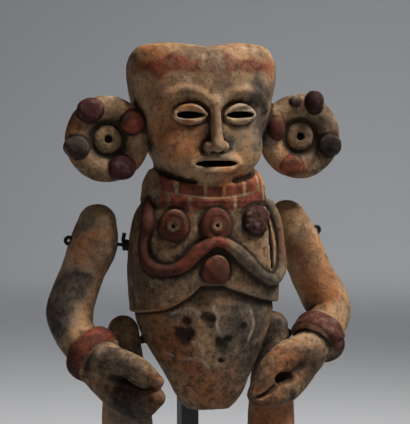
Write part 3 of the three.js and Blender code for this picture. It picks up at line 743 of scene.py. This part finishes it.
hem_edge = ease((2.2 - np.abs(z - hem_height(x, y) - 0.6)) / 1.6) * forward
orange = np.maximum(orange, hem_edge * np.interp(x, [-36, -28, -6, 2], [0.2, 0.8, 0.7, 0]))
clouds = near_spots(places, [
    *front_spots(head, [
        (31, 238, 10, 1), (27, 246, 8, 0.8), (24, 262, 9, 0.8), (33, 258, 9, 0.85), (19, 253, 6, 0.7),
        (9, 238, 9, 0.5), (3, 231, 8, 0.6), (4, 266, 13, 0.35), (30, 266, 10, 0.4), (24, 232, 9, 0.75),
    ]),
    *front_spots(trunk, [(24, 130, 20, 0.72), (18, 112, 16, 0.6), (12, 138, 16, 0.55), (0, 118, 16, 0.3)]),
    *front_spots(cape, [
        (28, 150, 12, 0.4), (31, 170, 12, 0.35), (-12, 158, 12, 0.3), (17, 187, 4, 1), (21, 183.5, 4, 1),
        (-15, 160, 3, 0.7), (4, 160, 4, 0.8), (29, 184, 3, 0.8),
    ]),
    (70, -4, 248, 8, 0.6), (-54, 2, 247, 9, 0.5), (-20, 26, 240, 18, 0.8), (-54, -5, 228, 12, 0.4),
    (16, 22, 180, 15, 0.7), (-12, 16, 116, 14, 0.5), (34, 8, 222, 10, 0.5), (54, -5, 240, 14, 0.4),
])
grey_rope = on_rope * np.interp(x, [2, 14, 34, 42], [0, 0.75, 0.8, 0.3])
clouds = np.maximum(np.maximum(clouds, burnt), grey_rope)
# Painted shadow: a dark band along the hem on the figure's left, under its overhang, laid in with the fire
# clouds
clouds = np.maximum(clouds, 0.6 * hem_edge * ease((x - 6) / 8))
# Painted shade: a dark ring in the recess between each flare's boss and its ring, laid in with the fire
# clouds
for side in (-1, 1):
    from_ring = np.abs(np.hypot(x - side * FLARE_X, z - FLARE_Z[side]) - (RING_RADIUS - RING_TUBE))
    clouds = np.maximum(clouds, 0.42 * forward * ease((3.4 - from_ring) / 2))

# Pale marks that roots left on the belly, as lines of x and height
ROOT_MARKS = [
    [(-2, 146), (0.6, 140), (0.2, 136), (2.4, 131)], [(-27, 121), (-18, 117.6), (-9, 117), (-4, 113)],
    [(-13, 127), (-8, 124), (-7, 119)], [(-24, 142), (-15, 145), (-9, 142)],
    [(20, 143), (22, 134), (19, 127)],
]
root_marks = 0 * z
for mark in ROOT_MARKS:
    line = smooth_line([trunk.front(mark_x, mark_z)[0] for mark_x, mark_z in mark], 5)
    root_marks = np.maximum(root_marks, along_line(places, line, 0.6, 0.8))
layer(body, "root_marks", root_marks)

# Darkening stored with the soil and shade layer: a little all over, more below the head and on the flares,
# more on the blackened pellets, and soil in the belly's pits
body_darkening = 0.12 + 0.3 * ease((222 - z) / 20) + 0.4 * burnt
body_darkening += 0.24 * ease((np.abs(x) - 40) / 5) * ease((z - 205) / 4)
pit_soil = np.zeros(len(places))
for pit_x, pit_z, radius, depth in BELLY_PITS:
    gap = np.linalg.norm(places - trunk.front(pit_x, pit_z)[0], axis=1)
    pit_soil = np.maximum(pit_soil, 0.44 * depth * ease((1.7 * radius - gap) / (1.2 * radius)))
shade_layers(body, body_clay, places, body_darkening + pit_soil)
painted(body, red, purple, orange, clouds)


def linear(shade):
    """An sRGB hex colour as a linear one."""
    parts = [int(shade[i:i + 2], 16) / 255 for i in (1, 3, 5)]
    return (*[p / 12.92 if p <= 0.04045 else ((p + 0.055) / 1.055) ** 2.4 for p in parts], 1)


def add(tree, kind, inputs=None, **settings):
    """Adds a node: its settings by name, and its inputs as values or as outputs of other nodes."""
    made = tree.nodes.new(kind)
    for name, value in settings.items():
        setattr(made, name, value)
    for name, value in (inputs or {}).items():
        if isinstance(value, bpy.types.NodeSocket):
            tree.links.new(value, made.inputs[name])
        else:
            made.inputs[name].default_value = value
    return made


def new_material(name):
    """A material, its nodes, its shader and the places on the piece that its patterns follow."""
    material = bpy.data.materials.new(name)
    material.use_nodes = True
    tree = material.node_tree
    return material, tree, tree.nodes["Principled BSDF"], add(tree, "ShaderNodeTexCoord").outputs["Object"]


# The clay's patterns: size in millimetres, detail and roughness
CLAY_PATTERNS = {
    "mottle": (26, 4, 0.6), "patch": (9, 5, 0.62), "fleck": (2.4, 4, 0.7), "grit": (0.9, 2, 0.6),
    "streak": (4, 6, 0.74),
}
STORED_LAYERS = (
    "red_paint", "purple_crust", "orange_patches", "fire_clouds", "hollows", "high_edges", "root_marks",
)


def earthenware():
    """Low-fired buff earthenware: matt and open, mottled by the fire, with worn mineral paint, soil and
    painted shade in its creases.
    """
    material, tree, shader, place = new_material("low_fired_painted_earthenware")
    seen = {
        name: add(tree, "ShaderNodeTexNoise", {
            "Vector": place, "Scale": 1 / (size * MM), "Detail": detail, "Roughness": rough,
        }).outputs["Fac"]
        for name, (size, detail, rough) in CLAY_PATTERNS.items()
    }
    for name in STORED_LAYERS:
        seen[name] = add(tree, "ShaderNodeAttribute", attribute_name=name).outputs["Fac"]

    def mixed(offset, **weights):
        """A sum of patterns and stored layers, each with its weight."""
        total = offset
        for name, weight in weights.items():
            total = add(tree, "ShaderNodeMath", {
                0: seen[name], 1: weight, 2: total,
            }, operation="MULTIPLY_ADD").outputs[0]
        return total

    def cover(amount, low, high, most=1.0, *within):
        """How much a coat covers: none at low, most of it at high, and only within other covers."""
        share = add(tree, "ShaderNodeMapRange", {
            "Value": amount, "From Min": low, "From Max": high, "To Max": most,
        }, interpolation_type="SMOOTHSTEP").outputs["Result"]
        for other in within:
            share = add(tree, "ShaderNodeMath", {0: share, 1: other}, operation="MULTIPLY").outputs[0]
        return share

    seen["cloud"] = cover(mixed(-0.6, fire_clouds=1, patch=1.2), 0.12, 1.0, 0.92)
    seen["paint"] = cover(mixed(0.3, high_edges=-0.25, streak=-1.7, red_paint=1.5), 0.05, 0.75, 0.92)
    seen["crust"] = cover(mixed(0.1, fleck=-0.8, purple_crust=1.2), 0.1, 0.75, 0.9)
    orange_patch = cover(mixed(-0.62, orange_patches=1, patch=1.3), 0.1, 1.0, 0.8)
    bare_clay = mixed(1, paint=-0.75, purple_crust=-1)
    worn_in_streaks = cover(seen["streak"], 0.4, 0.62)
    # From the clay up: each coat's shade and where it is, then the shade of its speckles and where they are
    coats = [
        ("#6c5643", cover(seen["mottle"], 0.42, 0.6)),
        ("#b8a286", cover(seen["patch"], 0.5, 0.72, 0.7)),
        ("#463426", cover(seen["streak"], 0.44, 0.74, 0.74)),
        ("#9a6039", orange_patch, "#66442f", cover(seen["streak"], 0.43, 0.7)),
        ("#cbb99f", cover(seen["grit"], 0.62, 0.8, 0.4)),
        ("#6f685e", seen["cloud"], "#252225", cover(mixed(0, streak=1, cloud=0.7), 0.62, 1.3)),
        ("#7e3b2c", seen["paint"], "#481d17", cover(mixed(0, patch=1, purple_crust=1.1), 0.41, 0.64)),
        ("#452124", seen["crust"], "#86706c", cover(seen["streak"], 0.5, 0.66, 0.7)),
        ("#33261b", cover(seen["fleck"], 0.5, 0.76, 0.52)),
        # Soil and painted shade: near-black brown in creases and recesses, and wherever darkening was added
        ("#1c150f", cover(mixed(-0.45, streak=0.9, hollows=1), 0.1, 0.9, 0.92)),
        ("#c9b79b", cover(seen["high_edges"], 0.1, 0.8, 0.6, worn_in_streaks, bare_clay)),
        ("#a99a86", cover(seen["streak"], 0.36, 0.54, 0.75, seen["root_marks"])),
    ]
    tone = linear("#9c7b5b")
    for shade, where, *speckles in coats:
        colour = linear(shade)
        if speckles:
            colour = add(tree, "ShaderNodeMix", {
                0: speckles[1], 6: colour, 7: linear(speckles[0]),
            }, data_type="RGBA").outputs[2]
        tone = add(tree, "ShaderNodeMix", {0: where, 6: tone, 7: colour}, data_type="RGBA").outputs[2]
    tree.links.new(tone, shader.inputs["Base Color"])
    rough = add(tree, "ShaderNodeMapRange", {
        "Value": seen["patch"], "From Min": 0.3, "From Max": 0.7, "To Min": 0.6, "To Max": 0.84,
    }, interpolation_type="SMOOTHSTEP")
    tree.links.new(rough.outputs["Result"], shader.inputs["Roughness"])
    shader.inputs["Specular IOR Level"].default_value = 0.12
    seen["pits"] = cover(seen["fleck"], 0.7, 0.58)
    seen["crumbs"] = add(tree, "ShaderNodeMath", {
        0: seen["crust"], 1: seen["fleck"],
    }, operation="MULTIPLY").outputs[0]
    height = mixed(0, pits=0.4, streak=0.7, grit=0.5, crumbs=2.2)
    bump = add(tree, "ShaderNodeBump", {"Height": height, "Strength": 1.0, "Distance": 0.6 * MM})
    tree.links.new(bump.outputs["Normal"], shader.inputs["Normal"])
    return material


clay_finish = earthenware()
body.data.materials.append(clay_finish)
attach(body, "root")
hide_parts(*BODY_NODES)

# Arms: each a bent roll of the same clay with a mitten hand, modelled and fired apart from the body.
# The fingers and the thumb close round a slit, and a thick painted bracelet rings the wrist.
# Each point of a roll carries its radius, and each spot of colour its radius and strength.
LIMB_CELL = 0.6
ARMS = {
    "right": {
        "arm": [
            (-57.2, 10, 189.4, 10.6), (-59.2, 10.5, 178, 13.2), (-64.5, 11.5, 164.5, 12),
            (-69.5, 12, 151.5, 12.4), (-72.5, 11, 141, 13), (-71.8, 5, 131.5, 11.4),
            (-66, -6.5, 121.5, 11.2), (-58, -16, 115, 11),
        ],
        "fingers": [
            (-62, -12, 119, 9.5), (-55, -23, 117.6, 7.6), (-45, -34.5, 114, 6.4),
            (-37.4, -43.8, 108.8, 3.6),
        ],
        "thumb": [(-62, -11, 112, 10), (-55, -21, 101.5, 8.8), (-45, -33, 95.8, 8.4), (-38, -42, 100, 5.2)],
        "hollow": ((-55, -40, 104.6), (14, 9, 4.2), ((0.66, -0.75, 0), (0.75, 0.66, 0), (0, 0, 1))),
        "slit": [(-52, -42, 104.6, 2.6), (-44, -48, 105, 1.6), (-36, -54, 105.6, 1)],
        "wrist": (-64.5, -8.5, 120.2),
        "forearm": (25, -36, -25),
        "lumps": 2,
        "bracelet_paint": 0.95,
        "bracelet_crust": 0.04,
        "orange": [
            (-66, 4, 178, 10, 0.75), (-60, 0, 186, 8, 0.35), (-38, -44, 108, 6, 1), (-37, -42, 98, 7, 1),
            (-46, -36, 89, 6, 0.7), (-57, 2, 160, 8, 0.4),
        ],
        "clouds": [
            (-78, 6, 146, 13, 1), (-70, 0, 160, 10, 0.9), (-80, 2, 136, 10, 0.8), (-66, 0, 193, 8, 0.7),
            (-76, 4, 134, 9, 0.7), (-52, -34, 93, 11, 1), (-43, -38, 94, 6, 0.9), (-56, -28, 118, 13, 0.9),
            (-48, -38, 116, 7, 0.5), (-82, 2, 138, 9, 0.7), (-57, -26, 119, 7, 0.5), (-70, -10, 118, 5, 0.4),
        ],
        "seed": 23,
    },
    "left": {
        "arm": [
            (52.4, 12, 190.2, 10.6), (58.2, 12, 178, 12.6), (63.5, 12, 167.5, 12), (68.2, 12, 157, 12),
            (73.6, 11, 147, 12.8), (76.2, 7.5, 138.5, 12.2), (65, -4, 123, 11.2), (56, -9, 116, 10.5),
        ],
        "fingers": [
            (57, -8, 117, 9.5), (47.5, -13, 117, 8.6), (36, -19, 112, 7.8), (28, -24, 104.5, 6.4),
            (22, -27, 97, 4.6),
        ],
        "thumb": [
            (57, -8, 113, 9.5), (50.5, -13, 105, 8), (42, -19.5, 98.5, 7.4), (32.6, -24, 94.8, 6),
            (24.4, -27, 94.6, 4.2),
        ],
        "hollow": ((39, -26, 105.4), (6.5, 8, 3.4)),
        "slit": [
            (42, -28.5, 106, 2.2), (36, -28.2, 102.6, 2), (30, -28.8, 99.6, 1.5), (25, -30.6, 97.2, 1.3),
            (19.5, -32, 95.8, 1.1),
        ],
        "wrist": (66.5, -2.6, 124.6),
        "forearm": (-28, -20, -21),
        "lumps": 5,
        "bracelet_paint": 0.75,
        "bracelet_crust": 0.62,
        "orange": [
            (69, 0, 148, 10, 1), (60, 2, 172, 14, 0.5), (40, -24, 114, 12, 0.9), (24, -30, 96, 8, 0.7),
            (72, 0, 158, 10, 0.6), (33, -26, 104, 8, 0.5),
        ],
        "clouds": [(79, 4, 137, 8, 0.7), (43, -26, 96, 6, 0.9), (50, 4, 180, 8, 0.3)],
        "seed": 37,
    },
}
BRACELET = {"radius": 11.2, "half": 6.2, "proud": 4.2}


def bracelet_form(centre, axis, lumps):
    """A thick ring round the wrist, with that many lumps."""
    def distance(x, y, z):
        dx, dy, dz = x - centre[0], y - centre[1], z - centre[2]
        along = dx * axis[0] + dy * axis[1] + dz * axis[2]
        out = np.sqrt(np.maximum(dx ** 2 + dy ** 2 + dz ** 2 - along ** 2, 0)) - BRACELET["radius"]
        swell = 1 + 0.14 * np.sin(lumps * np.arctan2(dz, dx + dy) + 0.08 * along)
        oval = np.abs(out / BRACELET["proud"]) ** SQUARENESS + np.abs(along / BRACELET["half"]) ** SQUARENESS
        return (oval ** (1 / SQUARENESS) / swell - 1) * BRACELET["proud"]

    reach = BRACELET["radius"] + BRACELET["proud"]
    return centre - reach, centre + reach, distance


for side, shape in ARMS.items():
    node = side + "_arm"
    low, high = (np.array(corner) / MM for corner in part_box(node))
    clay = Clay(low - 5, high + 5, LIMB_CELL)
    lay_coil(clay, shape["arm"])
    lay_coil(clay, shape["fingers"], 3)
    lay_coil(clay, shape["thumb"], 3)
    wrist = np.array(shape["wrist"], float)
    forearm = np.array(shape["forearm"], float)
    forearm /= np.linalg.norm(forearm)
    clay.put(bracelet_form(wrist, forearm, shape["lumps"]), 1.6)
    clay.cut(ball(*shape["hollow"]), 2.2)
    lay_coil(clay, shape["slit"], 0.8, taking=True)
    inner, outer, way = wire_ends(SHOULDER_WIRES[side])
    clay.cut(roll((*inner, LIMB_HOLE_INSIDE), (*(outer + way * 12), LIMB_HOLE_OUTSIDE)), 0.8)
    arm, places = model(node + "_clay", clay, shape["seed"])
    # The arms get darker towards the hands.
    shade_layers(arm, clay, places, 0.1 + 0.5 * ease((140 - places[:, 2]) / 28))
    offset = places - wrist
    along = offset @ forearm
    out = np.linalg.norm(offset - along[:, None] * forearm, axis=1)
    on_bracelet = ease((BRACELET["half"] + 0.6 - np.abs(along)) / 1.4)
    on_bracelet *= ease((out - BRACELET["radius"] - 0.2) / 1.2)
    painted(arm, shape["bracelet_paint"] * on_bracelet, shape["bracelet_crust"] * on_bracelet,
            near_spots(places, shape["orange"]), near_spots(places, shape["clouds"]))
    arm.data.materials.append(clay_finish)
    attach(arm, "root")
    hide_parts(node)

# Legs: hand-rolled like the arms, hung from the hips on wires, with a fuller knee and a plain anklet.
# The feet are short pads flattened below, and rest just clear of the stand's foot.
LEGS = {
    "right": {
        "leg": [
            (-42.4, 11.5, 129.8, 8.5), (-42.2, 11, 118, 10), (-41.6, 9.5, 100, 12.4), (-41, 8.5, 80, 13.8),
            (-40.6, 7, 66, 13.6), (-40.6, 8, 48, 11.6), (-40.8, 9, 30, 9.6), (-41, 9, 21, 9.2),
        ],
        "orange": [(-40, -6, 60, 10, 0.5), (-34, 0, 104, 8, 0.3), (-42, -20, 20, 8, 0.5)],
        "clouds": [
            (-42, 2, 128, 10, 0.5), (-44, -4, 86, 14, 0.7), (-36, 0, 98, 9, 0.5), (-46, 14, 50, 14, 0.6),
        ],
        "seed": 51,
    },
    "left": {
        "leg": [
            (44.4, 12, 129.8, 8.5), (44, 11.5, 118, 10), (43, 9.5, 100, 12), (42.2, 8.5, 80, 13),
            (41.6, 7, 66, 13.2), (41.2, 8, 48, 11.4), (41, 9, 30, 9.6), (41, 9, 21, 9.2),
        ],
        "orange": [(44, -4, 90, 15, 0.9), (38, -4, 78, 12, 0.8), (42, -10, 40, 10, 0.5)],
        "clouds": [
            (44, 4, 128, 13, 0.9), (36, 2, 112, 9, 0.8), (38, 16, 60, 13, 0.6), (48, -16, 20, 7, 0.5),
        ],
        "seed": 67,
    },
}
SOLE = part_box("right_leg")[0].z / MM
ANKLE_Y, ANKLET_Z, ANKLET_RADIUS, ANKLET_PROUD, ANKLET_HALF = 9, 33, 9.8, 2.6, 3.6
TOE_NOTCHES, TOE_SPACING, TOES_OUT = 4, 3, 1.03


def anklet_form(centre):
    def distance(x, y, z):
        out = np.hypot(x - centre[0], y - centre[1]) - ANKLET_RADIUS
        return (np.hypot(out / ANKLET_PROUD, (z - centre[2]) / ANKLET_HALF) - 1) * ANKLET_PROUD

    return centre - (13, 13, 4), centre + (13, 13, 4), distance


for side, shape in LEGS.items():
    node = side + "_leg"
    low, high = (np.array(corner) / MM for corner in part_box(node))
    clay = Clay(low - 4, high + 4, LIMB_CELL * 1.15)
    lay_coil(clay, shape["leg"])
    knee_x, ankle_x = shape["leg"][4][0], shape["leg"][-1][0]
    toes_x = ankle_x * TOES_OUT
    lay_coil(clay, [
        (ankle_x, 8, SOLE + 8, 9.6), (ankle_x, -4, SOLE + 6.6, 9.2), (toes_x, -20, SOLE + 5, 7.5),
    ], 2)
    clay.put(anklet_form(np.array([ankle_x, ANKLE_Y, ANKLET_Z])), 0.8)
    for i in range(TOE_NOTCHES):
        toe_x = toes_x + (i - (TOE_NOTCHES - 1) / 2) * TOE_SPACING
        clay.cut(roll((toe_x, -29, SOLE + 4, 0.7), (toe_x, -19, SOLE + 13, 0.5)), 0.8)
    clay.cut(ball((knee_x, -5.5, 59), (9, 2, 2.5)), 3)
    ground = np.array([ankle_x, 0, SOLE - 12])
    clay.cut((ground - (30, 45, 12), ground + (30, 45, 12), lambda x, y, z: z - SOLE + 0 * x + 0 * y), 0.8)
    inner, outer, way = wire_ends(HIP_WIRES[side])
    clay.cut(roll((*inner, LIMB_HOLE_INSIDE), (*(outer + way * 8), LIMB_HOLE_OUTSIDE)), 0.8)
    leg, places = model(node + "_clay", clay, shape["seed"])
    # Painted shade: each leg is darker towards its top, where it sits under the trunk and behind the hands.
    shade_layers(leg, clay, places, 0.08 + 0.4 * ease((places[:, 2] - 92) / 26))
    x, y, z = places.T
    off_ankle = np.hypot(x - ankle_x, y - ANKLE_Y) - ANKLET_RADIUS - 0.2
    red = 0.8 * ease((4 - np.abs(z - ANKLET_Z)) / 1.2) * ease(off_ankle / 1.2)
    painted(leg, red, 0 * red, near_spots(places, shape["orange"]), near_spots(places, shape["clouds"]))
    leg.data.materials.append(clay_finish)
    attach(leg, "root")
    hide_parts(node)

# Wires: soft iron wire pushed through each limb's top, with a small eye outside.
# Inside it is wrapped round itself several times and its end stands up; it has rusted dark.
WIRE_RADIUS, WRAP_RADIUS, EYE_RADIUS = 1.1, 2.2, 1.8


def coated_metal(name, shades, patches, edges, roughness, bumps, strength, height, metallic):
    """Metal under patches of a second shade. Patches and bumps have a size in millimetres and a detail."""
    material, tree, shader, place = new_material(name)
    patch, bump = (
        add(tree, "ShaderNodeTexNoise", {
            "Vector": place, "Scale": 1 / (size * MM), "Detail": detail,
        }).outputs["Fac"]
        for size, detail in (patches, bumps)
    )
    share = add(tree, "ShaderNodeMapRange", {"Value": patch, "From Min": edges[0], "From Max": edges[1]})
    tone = add(tree, "ShaderNodeMix", {
        0: share.outputs["Result"], 6: linear(shades[0]), 7: linear(shades[1]),
    }, data_type="RGBA")
    rough = add(tree, "ShaderNodeMapRange", {"Value": patch, "To Min": roughness[0], "To Max": roughness[1]})
    normal = add(tree, "ShaderNodeBump", {"Height": bump, "Strength": strength, "Distance": height * MM})
    tree.links.new(tone.outputs[2], shader.inputs["Base Color"])
    tree.links.new(rough.outputs["Result"], shader.inputs["Roughness"])
    tree.links.new(normal.outputs["Normal"], shader.inputs["Normal"])
    shader.inputs["Metallic"].default_value = metallic
    return material


def wire_curve(name, lines):
    """A piece of round wire through each line of points."""
    curve = bpy.data.curves.new(name, "CURVE")
    curve.dimensions, curve.bevel_depth, curve.bevel_resolution = "3D", WIRE_RADIUS * MM, 3
    curve.use_fill_caps, curve.resolution_u = True, 4
    for points in lines:
        spline = curve.splines.new("POLY")
        spline.points.add(len(points) - 1)
        weighted = np.column_stack([np.array(points) * MM, np.ones(len(points))])
        spline.points.foreach_set("co", weighted.ravel())
    piece = bpy.data.objects.new(name, curve)
    bpy.context.scene.collection.objects.link(piece)
    return piece


# Rusted soft iron: nearly black scale that is dull and rough, with brown rust in patches
wire_finish = coated_metal(
    "rusted_iron_wire", shades=("#1d1b1a", "#4a2f20"), patches=(1.6, 4), edges=(0.5, 0.68),
    roughness=(0.42, 0.85), bumps=(1.6, 4), strength=0.6, height=0.2, metallic=0.6,
)
# Where each limb's near side cuts the wire along X, how far the eye is drawn back, and the wrap's turns
LIMB_FACES = {"right_shoulder": -45.6, "left_shoulder": 45.2, "right_hip": -33.4, "left_hip": 35.2}
WIRE_JOINTS = {
    "shoulder": {"wires": SHOULDER_WIRES, "drawn_back": 2.4, "turns": 4},
    "hip": {"wires": HIP_WIRES, "drawn_back": 3, "turns": 2.5},
}
STEPS_PER_TURN = 14
for joint, shape in WIRE_JOINTS.items():
    for side, ends in shape["wires"].items():
        inner, outer, way = wire_ends(ends)
        up = np.array([0, 0, 1.0]) - way[2] * way
        up /= np.linalg.norm(up)
        across = np.cross(way, up)
        face = inner + way * (LIMB_FACES[f"{side}_{joint}"] - inner[0]) / way[0]
        middle = outer - way * shape["drawn_back"]
        eye = [
            middle + EYE_RADIUS * (up * math.sin(t) - way * math.cos(t))
            for t in np.linspace(0, 2 * math.pi, 25)[:-3]
        ]
        start, stop = inner + way * 0.6, face - way * 1.8
        wrap = []
        for share in np.linspace(0, 1, int(shape["turns"] * STEPS_PER_TURN)):
            turn = 2 * math.pi * shape["turns"] * share
            away = WRAP_RADIUS * (up * math.cos(turn) + across * math.sin(turn))
            wrap.append(start + (stop - start) * share + away)
        if joint == "shoulder":
            wrap += [wrap[-1] + up * 1.5, wrap[-1] + up * 4.4 - way * 0.3]
        wire = wire_curve(f"{side}_{joint}_wire_iron", [[inner, *eye], wrap])
        wire.data.materials.append(wire_finish)
        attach(wire, "root")
        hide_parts(f"{side}_{joint}_wire")

# Stand: a square steel bar with a peg into the figure's back, on a thick steel plate.
# Both are welded and painted satin black, with the fine orange peel of sprayed paint.

# Sprayed satin black paint on steel: smooth with a faint orange peel, and a soft wide highlight
stand_finish = coated_metal(
    "satin_black_painted_steel", shades=("#17181b", "#2a2b2e"), patches=(9, 5), edges=(0.45, 0.8),
    roughness=(0.36, 0.55), bumps=(0.9, 2), strength=0.5, height=0.03, metallic=0,
)
for node in ("stand_rod", "stand_foot"):
    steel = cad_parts[node]
    steel.data.materials.clear()
    steel.data.materials.append(stand_finish)

# Studio: a floor of pale paper that curves up on all sides into a backdrop. One soft light stands high in
# front at the figure's left, a weak one fills from its right, one lights the backdrop, and all round is dim.
# The floor's profile, as distance from the middle and height
SWEEP = [(1500, 0), (2300, 0), (2700, 70), (3000, 300), (3160, 700), (3200, 1400), (3200, 3400)]
SWEEP_SIDES = 96
rings = smooth_line([(r, h, 0) for r, h in SWEEP], 8)[:, :2]
ground = bpy.data.meshes.new("floor")
circle = [(math.cos(t), math.sin(t)) for t in np.linspace(0, 2 * math.pi, SWEEP_SIDES, endpoint=False)]
corners = [(r * c * MM, r * s * MM, h * MM) for r, h in rings for c, s in circle]
walls = [
    (SWEEP_SIDES * i + j, SWEEP_SIDES * (i + 1) + j,
     SWEEP_SIDES * (i + 1) + (j + 1) % SWEEP_SIDES, SWEEP_SIDES * i + (j + 1) % SWEEP_SIDES)
    for i in range(len(rings) - 1) for j in range(SWEEP_SIDES)
]
ground.from_pydata(corners, [], [tuple(range(SWEEP_SIDES)), *walls])
ground.polygons.foreach_set("use_smooth", np.ones(len(ground.polygons), bool))
floor = bpy.data.objects.new("floor", ground)
bpy.context.scene.collection.objects.link(floor)
paper = bpy.data.materials.new("pale_backdrop_paper")
paper.use_nodes = True
paper.node_tree.nodes["Principled BSDF"].inputs["Base Color"].default_value = linear("#bfc4cc")
paper.node_tree.nodes["Principled BSDF"].inputs["Roughness"].default_value = 0.95
ground.materials.append(paper)


def soft_light(name, place, target, size, power, shade, spread):
    """A round soft light aimed at a target, which keeps to a cone of that spread."""
    lamp = bpy.data.lights.new(name, "AREA")
    lamp.shape, lamp.size, lamp.energy, lamp.color = "DISK", size * MM, power, linear(shade)[:3]
    lamp.spread = math.radians(spread)
    light = bpy.data.objects.new(name, lamp)
    light.location = Vector(place) * MM
    light.rotation_euler = (Vector(place) - Vector(target)).to_track_quat("Z", "Y").to_euler()
    bpy.context.scene.collection.objects.link(light)


FIGURE, BACKDROP = (0, 0, 190), (800, 2300, 0)
soft_light("key", (820, -480, 1750), FIGURE, 600, 7.1, "#fff8ee", 60)
soft_light("fill", (-500, -1600, 700), FIGURE, 900, 0.25, "#fff4ea", 60)
soft_light("backdrop_light", (950, 1500, 1900), BACKDROP, 1200, 7.7, "#fffaf0", 110)
world = bpy.data.worlds.new("surround")
world.use_nodes = True
world.node_tree.nodes["Background"].inputs["Color"].default_value = linear("#c9d0da")
world.node_tree.nodes["Background"].inputs["Strength"].default_value = 0.17
bpy.context.scene.world = world
bpy.context.scene.view_settings.view_transform = "Standard"
